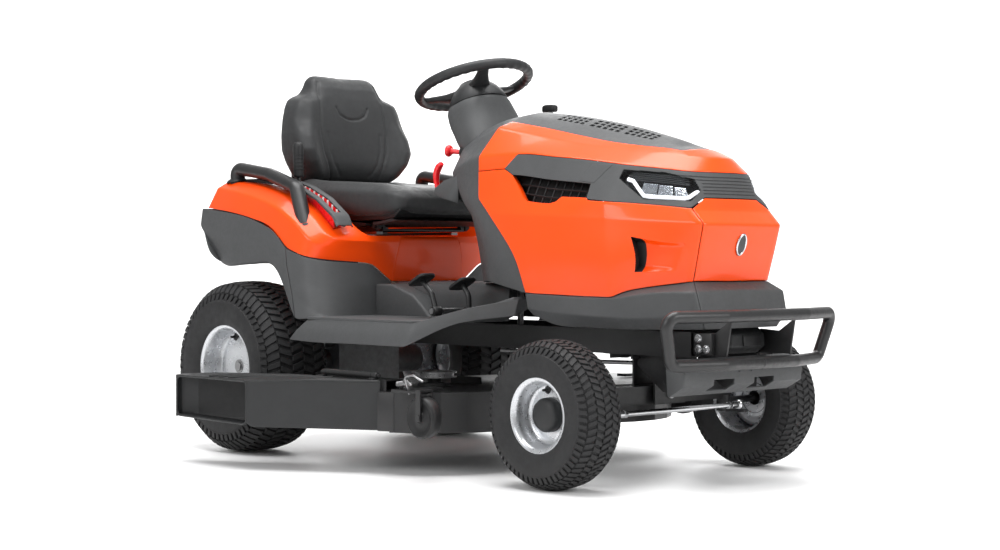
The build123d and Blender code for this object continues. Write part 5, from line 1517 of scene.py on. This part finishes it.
TP = [(-150, 403), (-149, 470), (-146, 488), (-140, 497), (-128, 502.5), (0, 504), (128, 502.5), (140, 497), (146, 488), (149, 470), (150, 403)]
V = [(x, y, z) for x in np.linspace(362, 850, 30) for y, z in TP]
tun.add(V, grid_faces(30, len(TP)))
build("tunnel", tun, GREY, "chassis", "grey_plastic", thick=3.0, bevel=0.8, angle=30, recalc=False)
# raised block ahead of the right footrest, beside the tunnel
build("tunnel_step", prismg([(356, 404), (356, 500), (430, 500), (520, 470), (560, 440), (600, 404)], -214, -151).both(), GREY, "chassis", "grey_plastic", recalc=True, bevel=7, bseg=4, bangle=25)
# bolts along the plates
bl = Geo()
for x, y in ((388, -178), (600, -178), (820, -178)):
    bl.join(lathe([(0.01, 4.6), (5, 4.4), (7.6, 2.6), (8.0, 0)], 20, (x, y, 402), (0, 0, 1)))
build("footrest_bolts", bl.both(), STEELBLACK, "chassis", "steel", thick=-1.0)

# ---- grab handles
HP = fillet_path([(-100, -372, 792), (-104, -372, 846), (60, -372, 822), (196, -378, 780), (254, -392, 668)], 30, 4.0)
hg = tube(HP, 1.0, 30, caps="round", section=[(19.5 * math.cos(t), 23.5 * math.sin(t)) for t in np.linspace(0, 2 * math.pi, 30, endpoint=False)], up=(0, 1, 0))
build("grab_handle_tubes", hg.both(), STEELBLACK, "chassis", "black_steel", ["grab_handles"], recalc=True, angle=60)
esc = lathe([(16, 9), (20, 8.6), (25, 6.0), (29.5, 2.5), (31, -2)], 40, (252, -392, 676), unit((0.30, -0.42, 0.86)))
build("grab_handle_feet", esc.both(), DARK, "chassis", "dark_plastic", thick=1.5)
esc2 = lathe([(16, 9), (21, 8.6), (27, 5.0), (31, 1.0), (32, -2)], 40, (-106, -372, 806), unit((-0.1, -0.1, 1)))
build("grab_handle_rear_feet", esc2.both(), DARK, "chassis", "dark_plastic", thick=1.5)

# ---- console with notched slot
con = [(-120, 812), (-118, 819), (60, 800), (170, 772), (255, 736), (330, 686), (352, 652)]


def cz(x):
    return np.interp(x, [p[0] for p in con[1:]], [p[1] + 9 for p in con[1:]])


V = []
xs = np.linspace(-112, 348, 92)
ys = [-350, -349, -345, -338, -336, -312, -310, -303, -298, -296]
for x in xs:
    for y in ys:
        e = min(y + 350, -296 - y)
        V.append((x, y, cz(x) - (5 if e <= 0 else (1.6 if e < 2 else 0))))
Fc = []
nc = len(ys)
for i, f in enumerate(grid_faces(len(xs), nc)):
    r, c = divmod(i, nc - 1)
    x = (xs[r] + xs[r + 1]) / 2
    if 112 < x < 320 and c == 4:
        continue
    Fc.append(f)
build("console_top", Geo().add(V, Fc), GREY, "chassis", "grey_plastic", ["quadrant_console"], thick=5.0, bevel=1.0, bangle=40, recalc=False)
rim_ = Geo()
sl_ = Geo()
for y0, y1 in ((-338.5, -335.5), (-312.5, -309.5)):
    V = []
    for x in np.linspace(112, 318, 40):
        V += [(x, y0, cz(x) - 1.0), (x, y1, cz(x) - 1.0), (x, y1, cz(x) - 42), (x, y0, cz(x) - 42)]
    q = Geo().add(V, grid_faces(40, 4, False, True) + [(0, 1, 2, 3), (159, 158, 157, 156)])
    sl_.join(q)
build("console_slot_sleeve", sl_, RED, "chassis", "red_plastic", recalc=True, bevel=0.5)
nt = Geo()
for k in range(9):
    x = 132 + k * 21
    nt.join(boxg(x - 3.5, x + 3.5, -313.4, -310, cz(x) - 16, cz(x) + 0.4))
    nt.join(boxg(x - 3.5, x + 3.5, -338, -334.6, cz(x) - 16, cz(x) + 0.4))
build("console_marks", nt, WHITE, "chassis", "grey_plastic", recalc=True, bevel=0.4)
# raised lip round the console, widening it over the fender
lp = [(x, -349 - 3.0 * math.sin(math.pi * (x + 112) / 460), cz(x) + 1.0) for x in np.linspace(-108, 340, 60)] + [(348, -324, cz(348) + 1.0)] + [(x, -297 + 7.0 * math.sin(math.pi * (x + 112) / 460), cz(x) + 1.0) for x in np.linspace(340, -108, 60)]
build("console_lip", tube([np.array(p) for p in lp], 4.6, 12, closed=True), GREY, "chassis", "grey_plastic", recalc=True, angle=60)
V = []
for x in np.linspace(-108, 336, 60):
    w_ = 7.0 * math.sin(math.pi * (x + 112) / 460)
    V += [(x, -300, cz(x) - 1), (x, -297 + w_, cz(x) + 0.5)]
build("console_inner_ledge", Geo().add(V, grid_faces(60, 2)), GREY, "chassis", "grey_plastic", thick=4, recalc=False)
# dark pocket behind the handle
build("handle_pocket", prismg([(-96, 806), (-96, 812), (-10, 811.5), (60, 800), (60, 794)], -366, -352).both(), BLACK, "chassis", "dark_plastic", recalc=True, bevel=2)

# ---- lift lever: flat bar and fat grip
lvp = prismg([(134, 560), (150, 560), (143, 836), (129, 836)], -327.5, -320.5)
build("lift_lever_bar", lvp, STEELBLACK, "lift", "black_steel", ["lift_lever"], recalc=True, bevel=1.5)
gd_ = unit((-0.03, 0, 1))
build("lift_lever_grip", lathe([(0.01, 0), (10, 0), (13.5, 2), (14.5, 6), (14.2, 30), (15.4, 70), (16.2, 88), (14.6, 98), (9, 104), (0.01, 106)], 36, (136, -324, 812), gd_), BLACK, "lift", "red_plastic" if False else "rubber", recalc=True, angle=60)
build("lift_lever_hub", lathe([(6.1, 0), (13, 0), (14, 1), (14, 11), (13, 12), (6.1, 12), (6.1, 0)], 32, (141, -330, 570), (0, 1, 0)), STEEL, "lift", "steel", recalc=True)
rg_ = Geo()
for k in range(5):
    c0 = np.array([136, -324, 836.0]) + gd_ * k * 11
    rg_.join(lathe([(14.0, -1.6), (15.6, -1.2), (16.0, 0), (15.6, 1.2), (14.0, 1.6), (14.0, -1.6)], 32, c0, gd_))
build("lift_lever_grip_ribs", rg_, BLACK, "lift", "rubber", recalc=True)
# ------------------------------------------------------------------ front guard
GP = fillet_path([(1618, 0, 436), (1618, 160, 436), (1574, 335, 436), (1556, 295, 316), (1600, 140, 316), (1600, 0, 316)], 26, 4.0)
gt = tube(GP, 15.6, 28, caps="flat")
build("guard_tube", gt.both(), STEELBLACK, "chassis", "black_steel", ["front_guard"], recalc=True, angle=60)
jr = Geo()
for p, d in (((1618, 0, 436), (0, 1, 0)), ((1600, 0, 316), (0, 1, 0))):
    jr.join(lathe([(15.2, -2.2), (15.8, -1.6), (15.95, 0), (15.8, 1.6), (15.2, 2.2), (15.2, -2.2)], 36, p, d))
build("guard_weld", jr, STEELBLACK, "chassis", "black_steel", recalc=True)
wb = Geo()
for s in (-1, 1):
    wb.join(prismg([(1500, 334), (1500, 396), (1560, 392), (1604, 422), (1610, 420), (1596, 334), (1560, 334)], s * 128 - 3, s * 128 + 3))
    wb.join(boxg(1503, 1560, min(s * 128, s * 146), max(s * 128, s * 146), 338, 392))
build("guard_webs", wb, STEELBLACK, "chassis", "black_steel", recalc=True, bevel=1.2)
gb = Geo()
for s in (-1, 1):
    for x, z in ((1520, 352), (1545, 352), (1520, 378)):
        gb.join(lathe([(0.01, 6), (6.5, 6), (7.6, 4.8), (7.6, 1.4), (10.5, 1.2), (10.5, 0)], 24, (x, s * 146, z), (0, s, 0)))
build("guard_bolts", gb, CHROME, "chassis", "steel", thick=-1)

# ---- lower front valance: bent panel with two openings, and folded ends
def vz(z):
    return np.interp(z, [236, 262, 300, 328], [1502, 1548, 1552, 1506])


zz = sorted(set(list(np.linspace(236, 328, 30)) + [246, 276, 262, 300]))
yy = sorted(set(list(np.linspace(-235, 235, 60)) + [-120, -40, 40, 120]))
V = [(vz(z), y, z) for z in zz for y in yy]
Fv = []
for i, f in enumerate(grid_faces(len(zz), len(yy))):
    r, c = divmod(i, len(yy) - 1)
    zc, yc = (zz[r] + zz[r + 1]) / 2, (yy[c] + yy[c + 1]) / 2
    if 246 < zc < 276 and (-120 < yc < -40 or 40 < yc < 120):
        continue
    Fv.append(f)
build("valance", Geo().add(V, Fv), GREY, "chassis", "dark_plastic", ["front_valance"], thick=3.6, bevel=1.0, bangle=30, recalc=False, angle=25)
en = Geo()
for s in (-1, 1):
    en.join(prismg([(1496, 240), (1502, 236), (1548, 262), (1552, 300), (1506, 328), (1492, 328), (1492, 300)], s * 235 - 2, s * 235 + 2))
    en.join(prismg([(1500, 290), (1500, 306), (1556, 300), (1556, 292)], s * 24 - 3, s * 24 + 3))
build("valance_ends", en, GREY, "chassis", "dark_plastic", recalc=True, bevel=1.0)

# ------------------------------------------------------------------ discharge chute
def ctop(x, y):
    return 250.5 - max(0.0, (-y - 640)) * 0.10


poly = [(728, -508), (404, -712), (70, -712), (70, -690), (318, -522), (330, -508)]
ch = Geo()
# top as rows between the inner and the outer edge
xs = np.linspace(0, 1, 46)
top_o = [(728, -508), (404, -712), (70, -712)]
top_i = [(728, -508), (330, -508), (318, -522), (70, -690)]


def along(pts, q):
    pts = np.array(pts, float)
    L = np.concatenate([[0], np.cumsum(np.hypot(*np.diff(pts, axis=0).T))])
    return np.array([np.interp(q * L[-1], L, pts[:, k]) for k in range(2)])


V = []
N_ = 14
for q in xs:
    a, b = along(top_o, q), along(top_i, q)
    for k in range(N_):
        p = a + (b - a) * k / (N_ - 1)
        V.append((p[0], max(p[1], -711.0), ctop(p[0], p[1])))
ch.add(V, grid_faces(len(xs), N_))
build("chute_top", ch, DARK, "chute", "dark_plastic", ["discharge_chute"], thick=3.4, bevel=1.2, bangle=40, recalc=False)
# front wall: tall panel, and the tall rear wall; between them the mouth opens outwards
def wall_strip(pts, zb, bul=0.0, n=50):
    V = []
    for q in np.linspace(0, 1, n):
        p = along(pts, q)
        z0 = zb(q)
        for k in range(14):
            f = k / 13
            V.append((p[0] - bul * math.sin(math.pi * f) * 0, p[1], z0 + (ctop(p[0], p[1]) - z0) * f))
    return Geo().add(V, grid_faces(n, 14))


zfw = lambda q: 118.0 + (10.0 * max(0.0, (q - 0.94) / 0.06) ** 2)
build("chute_front_wall", wall_strip([(727, -509), (405, -710.5)], zfw), DARK, "chute", "dark_plastic", thick=3.6, bevel=1.4, bangle=40, recalc=False)
build("chute_rear_wall", wall_strip([(320, -523), (72, -690), (72, -710)], lambda q: 132.0 - 6 * q), DARK, "chute", "dark_plastic", thick=3.4, bevel=1.2, bangle=40, recalc=False)
# rounded lip all round the mouth
mz0, mz1 = 124.0, 247.0
mp = fillet_path([(404, -708.5, mz1 - 4), (404, -708.5, mz0), (74, -708.5, mz0 + 6), (74, -708.5, mz1 - 6), (240, -708.5, mz1 - 5), (404, -708.5, mz1 - 4)][:-1], 16, 4.0, closed=True)
build("chute_mouth_lip", tube(mp, 3.3, 14, closed=True), DARK, "chute", "dark_plastic", recalc=True, angle=60)
V = []
for x in np.linspace(74, 404, 30):
    for y, dz in ((-708, 0), (-690, 1.0), (-676, 3.0)):
        V.append((x, y, mz0 + 6 - 6 * (x - 74) / 330 + dz))
build("chute_floor_lip", Geo().add(V, grid_faces(30, 3)), DARK, "chute", "dark_plastic", thick=3.0, bevel=0.8, recalc=False)
# a black wall inside the chute, darker than the chute's own dark plastic: painted shade inside the mouth
V = []
for q in np.linspace(0, 1, 30):
    p = np.array([80.0, -672.0]) * (1 - q) + np.array([400.0, -560.0]) * q
    for z in np.linspace(128, 246, 10):
        V.append((p[0], p[1], z))
build("chute_inner_shade_wall", Geo().add(V, grid_faces(30, 10)), BLACK, "chute", "dark_plastic", thick=2.0, recalc=False)
ed = Geo()
ep = [(x, y, ctop(x, y) - 2.6) for x, y in ((720, -511.5), (560, -611), (405, -707.5), (240, -707.5), (76, -707.5))]
ed.join(tube(fillet_path(ep, 12, 6.0), 3.6, 12, caps="round"))
build("chute_edge", ed, DARK, "chute", "dark_plastic", recalc=True)
rb = Geo()
for q in (0.2, 0.42, 0.64):
    a = np.array([330 - q * 200, -560.0 - q * 90])
    rb.join(tube([(a[0] + 260, -530, 251.0), (a[0] + 60, -640, 250.4), (a[0] + 20, -700, 246.5)], 3.0, 8))
build("chute_ribs", rb, DARK, "chute", "dark_plastic", recalc=True)
hb = Geo()
for x in (480, 690):
    hb.join(lathe([(5.1, 0), (8.2, 0), (9, 0.8), (9, 19.2), (8.2, 20), (5.1, 20), (5.1, 0)], 28, (x, -503, 262), (1, 0, 0)))
    hb.join(boxg(x + 2, x + 18, -520, -505, 249, 257))
build("chute_hinge", hb, STEELBLACK, "chute", "black_steel", recalc=True, bevel=0.6)

# ---- deck gauge wheels
for nm, s, gx, gy in (("right", -1, 944, -545), ("left", 1, 905, 520)):
    pr = [(8.1, -17), (14, -17), (16, -14), (24, -12), (38, -12.5), (42, -16), (49, -16.5), (53, -13), (54, -8), (54, 8), (53, 13), (49, 16.5), (42, 16), (38, 12.5), (24, 12), (16, 14), (14, 17), (8.1, 17), (8.1, -17)]
    build("gauge_roller_" + nm, lathe(pr, 72, (gx, gy, 168), (0, 1, 0)), BLACK, "gauge_" + nm, "dark_plastic", ["gauge_wheel_" + nm], recalc=True, angle=40)

# ---- tie rod with threaded ends and ball joints, bright
tg = cyl((1330, -232, 182), (0, 1, 0), 7.0, 464, 28)
build("tie_rod_bar", tg, CHROME, "track_rod", "steel", ["tie_rod"], recalc=True, angle=50)
bj = Geo()
for s in (-1, 1):
    c = (1330, s * 251, 182)
    bj.join(lathe([(0.01, -13), (6, -12.6), (10, -10), (12, -5), (12.4, 0), (12, 5), (10, 10), (6, 12.6), (0.01, 13)], 32, c, (0, 0, 1)))
    bj.join(cyl((1330, s * 242, 182), (0, -s, 0), 9.6, 26, 6 * 4, e=1.0))
    bj.join(lathe([(0.01, 6), (9.2, 6), (10.4, 5), (10.4, -4), (9.2, -5), (0.01, -5)], 6, (1330, s * 208, 182), (0, s, 0)))
build("tie_rod_balls", bj, CHROME, "track_rod", "steel", recalc=True, angle=40)

# ------------------------------------------------------------------ pedals
for nm, x, y, z, px, pz, bd in (("forward", 640, -285, 516, 700, 430, "forward_pedal"), ("reverse", 762, -245, 506, 790, 430, "reverse_pedal"), ("brake", 700, 285, 520, 760, 430, "brake_pedal")):
    s = 1 if y > 0 else -1
    Rm = rot_axis((0, 1, 0), -28)
    pad = Geo()
    n = 32
    lp = []
    for k in range(n):
        t = 2 * math.pi * k / n
        lp.append((33 * math.copysign(abs(math.cos(t)) ** 0.45, math.cos(t)), 31 * math.copysign(abs(math.sin(t)) ** 0.45, math.sin(t))))
    rings = [(0.92, -5), (1.0, -3.6), (1.0, 2.6), (0.94, 4.4), (0.6, 4.8), (0.001, 4.9)]
    V = [(a * f, b * f, h) for f, h in [(0.001, -5)] + rings for a, b in lp]
    pad.add(V, grid_faces(len(rings) + 1, n, False, True))
    for k in range(5):
        pad.join(boxg(-22 + k * 10, -17 + k * 10, -23, 23, 4.2, 6.6))
    pad = pad.moved(Rm, (x, y, z))
    build("pedal_pad_" + nm, pad, BLACK, bd, "rubber", ["pedal_" + nm], recalc=True, bevel=0.5)
    a, b = np.array([x + 4, y, z - 4.0]), np.array([px, y, pz])
    mid = (a + b) / 2 + np.array([10, 0, 8.0])
    arm = tube(fillet_path([a, mid, b], 30, 4.0), 7.6, 20, caps="flat")
    arm.join(lathe([(8.1, 0), (12.2, 0), (13, 0.8), (13, 27.2), (12.2, 28), (8.1, 28), (8.1, 0)], 32, (px, y - s * 14, pz), (0, s, 0)))
    build("pedal_arm_" + nm, arm, STEELBLACK, bd, "black_steel", recalc=True, angle=45)

# ------------------------------------------------------------------ dash controls
kc = (590, -120, 880)

build("knob_cap", lathe([(0.01, -1.5), (11, -1.0), (15.5, 1.0), (17.5, 5), (17.0, 10), (13.5, 14.5), (9.5, 17), (8.0, 22), (7.2, 26), (7.2, 50), (0.01, 50)], 40, np.array((590, -120, 880)) + unit((-1, -0.35, 0.12)) * 22, -unit((-1, -0.35, 0.12))), RED, "knob", "red_plastic", ["blade_knob"], recalc=True, angle=35)
kb = unit((-1, -0.35, 0.12))
build("knob_bezel", lathe([(7.6, 4), (12, 4), (19, 0), (22, -10), (22, -26), (7.6, -26), (7.6, 4)], 40, np.array((612, -112, 877)) - kb * 4, kb), BLACK, "chassis", "dark_plastic", recalc=True)
# parking lever: curved blade with a thickened grip, and its bracket on the dash
pl = [(607, 762), (600, 776), (595, 792), (594, 808), (598, 822), (606, 834), (616, 842)]
pw = [(8, 5), (8, 5), (8.5, 6), (10, 7), (11, 8), (11, 8), (8, 6)]
V = []
n = 24
fp = [np.array([x, -190.0, z]) for x, z in pl]
for i, (c, (w, h)) in enumerate(zip(fp, pw)):
    T_ = unit(fp[min(i + 1, len(fp) - 1)] - fp[max(i - 1, 0)])
    N2 = unit(np.cross(T_, (0, 1, 0)))
    for k in range(n):
        t = 2 * math.pi * k / n
        V.append(c + np.array([0, 1.0, 0]) * w * math.copysign(abs(math.cos(t)) ** .7, math.cos(t)) + N2 * h * math.copysign(abs(math.sin(t)) ** .7, math.sin(t)))
g = Geo().add(V, grid_faces(len(fp), n, False, True) + [tuple(range(n))[::-1], tuple((len(fp) - 1) * n + k for k in range(n))])
g.join(lathe([(4.1, 0), (8.4, 0), (9, 0.6), (9, 11.4), (8.4, 12), (4.1, 12), (4.1, 0)], 28, (606, -196, 764), (0, 1, 0)))
build("parking_lever_blade", g, RED, "park", "red_plastic", ["parking_lever"], recalc=True, angle=40, bevel=0.4)
pb = Geo()
for y0 in (-205, -179):
    pb.join(prismg([(600, 756), (603, 772), (640, 792), (700, 806), (700, 728), (640, 742)], y0, y0 + 4))
pb.join(prismg([(616, 752), (622, 758), (700, 736), (700, 728)], -205, -175))
build("parking_lever_bracket", pb, GREY, "chassis", "dark_plastic", recalc=True, bevel=1.5)
# throttle: lever with a rounded knob
th_ = Geo()
th_.join(lathe([(0.01, 0), (5.6, 0), (6, 0.6), (6, 66), (0.01, 66)], 24, (767, 96, 927), (0, 0, 1)))
build("throttle_stem", th_, STEELBLACK, "throttle", "black_steel", ["throttle_lever"], recalc=True)
V = []
n = 40
for h, f in ((-10, .001), (-10, .8), (-8.6, .94), (-5, 1), (4, 1), (7.5, .95), (9.6, .82), (10.2, .5), (10.4, .001)):
    for k in range(n):
        t = 2 * math.pi * k / n
        V.append((762 + 26 * f * math.copysign(abs(math.cos(t)) ** .5, math.cos(t)), 96 + 12 * f * math.copysign(abs(math.sin(t)) ** .6, math.sin(t)), 1004 + h))
g = Geo().add(V, grid_faces(9, n, False, True))
for k in range(4):
    g.join(boxg(750 + k * 8 - 1.4, 750 + k * 8 + 1.4, 87, 105, 1013, 1015.2))
build("throttle_knob", g, BLACK, "throttle", "dark_plastic", recalc=True, angle=40)
# key with a rounded bow
V = []
for h in (-2, 2):
    for k in range(28):
        t = 2 * math.pi * k / 28
        V.append((566 + 8.5 * math.cos(t), 80 + h, 892 + 13 * math.sin(t)))
g = Geo().add(V, [(k, (k + 1) % 28, 28 + (k + 1) % 28, 28 + k) for k in range(28)] + [tuple(range(28))[::-1], tuple(range(28, 56))])
g.join(cyl((590, 80, 890), unit((-1, 0, 0.1)), 6, 20, 24, e=0.8))
build("ignition_key_bow", g, BLACK, "key", "dark_plastic", ["ignition_key"], recalc=True, bevel=0.8)
build("key_bezel", lathe([(6.3, 4), (12, 3.6), (14, 1), (14, -40), (6.3, -40), (6.3, 4)], 32, (592, 80, 889.6), unit((-1, 0, 0.1))), CHROME, "chassis", "steel", recalc=True)
# springs, hooks and links by the gauge wheel
hk = Geo()
hk.join(tube(fillet_path([(800, -505, 226), (842, -530, 250), (872, -548, 262), (900, -552, 250)], 10, 3), 3.4, 12))
hk.join(tube(fillet_path([(880, -540, 226), (880, -556, 270), (916, -560, 276), (950, -556, 262)], 12, 3), 3.0, 12))
sp = [np.array([820 + 62 * q, -528 - 14 * q, 246 + 8 * q]) + np.array([0, 6.5 * math.cos(q * 2 * math.pi * 9), 6.5 * math.sin(q * 2 * math.pi * 9)]) for q in np.linspace(0, 1, 160)]
hk.join(tube(sp, 1.5, 8))
build("deck_hook_and_spring", hk, STEEL, "deck", "steel", recalc=True, angle=60)

arc = [(655 + 285 * math.sin(t), -250 - 285 * math.cos(t)) for t in np.linspace(math.radians(16.0), math.radians(26), 8)]
arc2 = [(655 + 281.5 * math.sin(t), -250 - 281.5 * math.cos(t)) for t in np.linspace(math.radians(26), math.radians(16.0), 8)]
build("deck_mouth_post", prismg(arc + arc2, 118, 219, "z"), STEELBLACK, "deck", "black_steel", recalc=True, bevel=0.6)

# axle support plates under the rails, and the dark box behind the guard
ap = Geo()
for s_ in (-1, 1):
    ap.join(prismg([(1296, 400), (1492, 400), (1492, 242), (1440, 232), (1384, 236), (1348, 262), (1296, 302)], s_ * 120 - 2.5, s_ * 120 + 2.5))
build("axle_support_plates", ap, STEELBLACK, "chassis", "black_steel", recalc=True, bevel=1.2)
ah = Geo()
for s_ in (-1, 1):
    for k in range(4):
        for j in range(2):
            ah.join(lathe([(4.2, -0.6), (6.4, -0.6), (7.0, 0.4), (6.2, 1.2), (4.2, 0.9), (4.2, -0.6)], 20, (1392 + 24 * k, s_ * 122.5, 262 + 26 * j), (0, s_, 0)))
    for x, z in ((1320, 372), (1400, 380), (1470, 372)):
        ah.join(lathe([(0.01, 6), (6.5, 6), (7.6, 4.8), (7.6, 1.4), (11, 1.2), (11, 0)], 24, (x, s_ * 122.5, z), (0, s_, 0)))
build("axle_plate_fasteners", ah, DARK, "chassis", "black_steel", recalc=True, angle=40)
build("front_box", prismg([(1436, 402), (1500, 402), (1522, 384), (1524, 352), (1500, 334), (1436, 334)], -116, 116), DARK, "chassis", "dark_plastic", recalc=True, bevel=5, bseg=3, bangle=20)
fr_ = Geo()
for s_ in (-1, 1):
    fr_.join(prismg([(1524.5, 352), (1528, 356), (1526, 378), (1522.5, 384)], s_ * 60 - 36, s_ * 60 + 36))
build("front_box_pads", fr_, BLACK, "chassis", "dark_plastic", recalc=True, bevel=1.5)
# ------------------------------------------------------------------ carried-over CAD nodes get their finish
FIN = {"orange_gloss": ORANGE, "grey_plastic": GREY, "dark_plastic": DARK, "lens": CLEAR, "black_steel": STEELBLACK, "engine_metal": CAST, "seat_vinyl": VINYL,
       "tyre": RUBBER, "rim_paint": SILVER, "steel": STEEL, "rubber": BELT, "red_plastic": RED, "tank_plastic": TANK}
SLOT_OF = {p["node"]: p["material_slot"] for p in frame["record"]["subparts"]}
for n_, o_ in frame["nodes"].items():
    mt = FIN[SLOT_OF[n_]]
    o_.data.materials.clear()
    o_.data.materials.append(mt)

# ------------------------------------------------------------------ floor, light, camera
fm = bpy.data.materials.new("studio_floor")
fm.use_nodes = True
b_ = fm.node_tree.nodes["Principled BSDF"]
b_.inputs["Base Color"].default_value = (0.93, 0.93, 0.93, 1)
b_.inputs["Roughness"].default_value = 0.45
me = bpy.data.meshes.new("floor")
# floor running up into a pale backdrop, far behind
R = 14.0
prof = [(-R, 0.0), (8.0, 0.0), (9.5, 0.25), (10.6, 1.1), (11.0, 2.4), (11.0, 9.0)]
vv, ff = [], []
az = math.radians(46.055)
bk = Vector((-math.sin(az), math.cos(az), 0))
rt = Vector((math.cos(az), math.sin(az), 0))
for w in (-16, 16):
    for d_, h_ in prof:
        vv.append(tuple(bk * d_ + rt * w + Vector((0, 0, h_))))
k_ = len(prof)
ff = [(i, i + 1, i + 1 + k_, i + k_) for i in range(k_ - 1)]
me.from_pydata(vv, [], ff)
me.materials.append(fm)
for p_ in me.polygons:
    p_.use_smooth = True
fl = bpy.data.objects.new("floor", me)
SCENE.collection.objects.link(fl)
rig.stage(fl)

wd = bpy.data.worlds.new("studio")
SCENE.world = wd
wd.use_nodes = True
wd.node_tree.nodes["Background"].inputs[0].default_value = (1, 1, 1, 1)
wd.node_tree.nodes["Background"].inputs[1].default_value = 0.5


def area(name, loc, target, size, power, sy=None):
    L = bpy.data.lights.new(name, "AREA")
    L.energy = power
    L.size = size
    if sy:
        L.shape = "RECTANGLE"
        L.size_y = sy
    o = bpy.data.objects.new(name, L)
    SCENE.collection.objects.link(o)
    o.location = loc
    o.rotation_euler = (Vector(target) - Vector(loc)).to_track_quat("-Z", "Y").to_euler()
    return o


area("top", (0.3, -0.2, 4.2), (0, 0, 0.4), 3.6, 250, 3.0)
area("front", (4.6, 0.6, 2.2), (0.3, 0, 0.6), 2.2, 95, 1.8)
area("right", (0.2, -4.6, 2.6), (0, 0, 0.5), 3.0, 85, 1.6)
area("behind", (-3.2, 3.2, 3.0), (0, 0, 0.7), 2.6, 90, 2.0)

area("backdrop", tuple(bk * 5.5 + Vector((0, 0, 4.2))), tuple(bk * 10.8 + Vector((0, 0, 2.6))), 8.0, 620, 3.0)

cam = bpy.data.cameras.new("camera")
co = bpy.data.objects.new("camera", cam)
SCENE.collection.objects.link(co)
cam.lens, cam.sensor_width = 66.66, 36.0
cam.clip_start, cam.clip_end = 0.1, 60
A, E_, RO = math.radians(46.055), math.radians(0.659), math.radians(0.117)
back = Vector((math.sin(A) * math.cos(E_), -math.cos(A) * math.cos(E_), math.sin(E_)))
r0 = Vector((math.cos(A), math.sin(A), 0))
u0 = back.cross(r0)
right = r0 * math.cos(RO) + u0 * math.sin(RO)
up = back.cross(right)
Mx = Matrix((right, up, back)).transposed().to_4x4()
Mx.translation = Vector(m((4488.0, -3692.3, 588.3)))
co.matrix_world = Mx
SCENE.camera = co
SCENE.view_settings.view_transform = "Standard"

import json
lo_, hi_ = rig.bounds()
with open("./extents.json", "w") as f_:
    json.dump({"cad_box": CADBOX, "visual_box": [list(lo_), list(hi_)]}, f_)
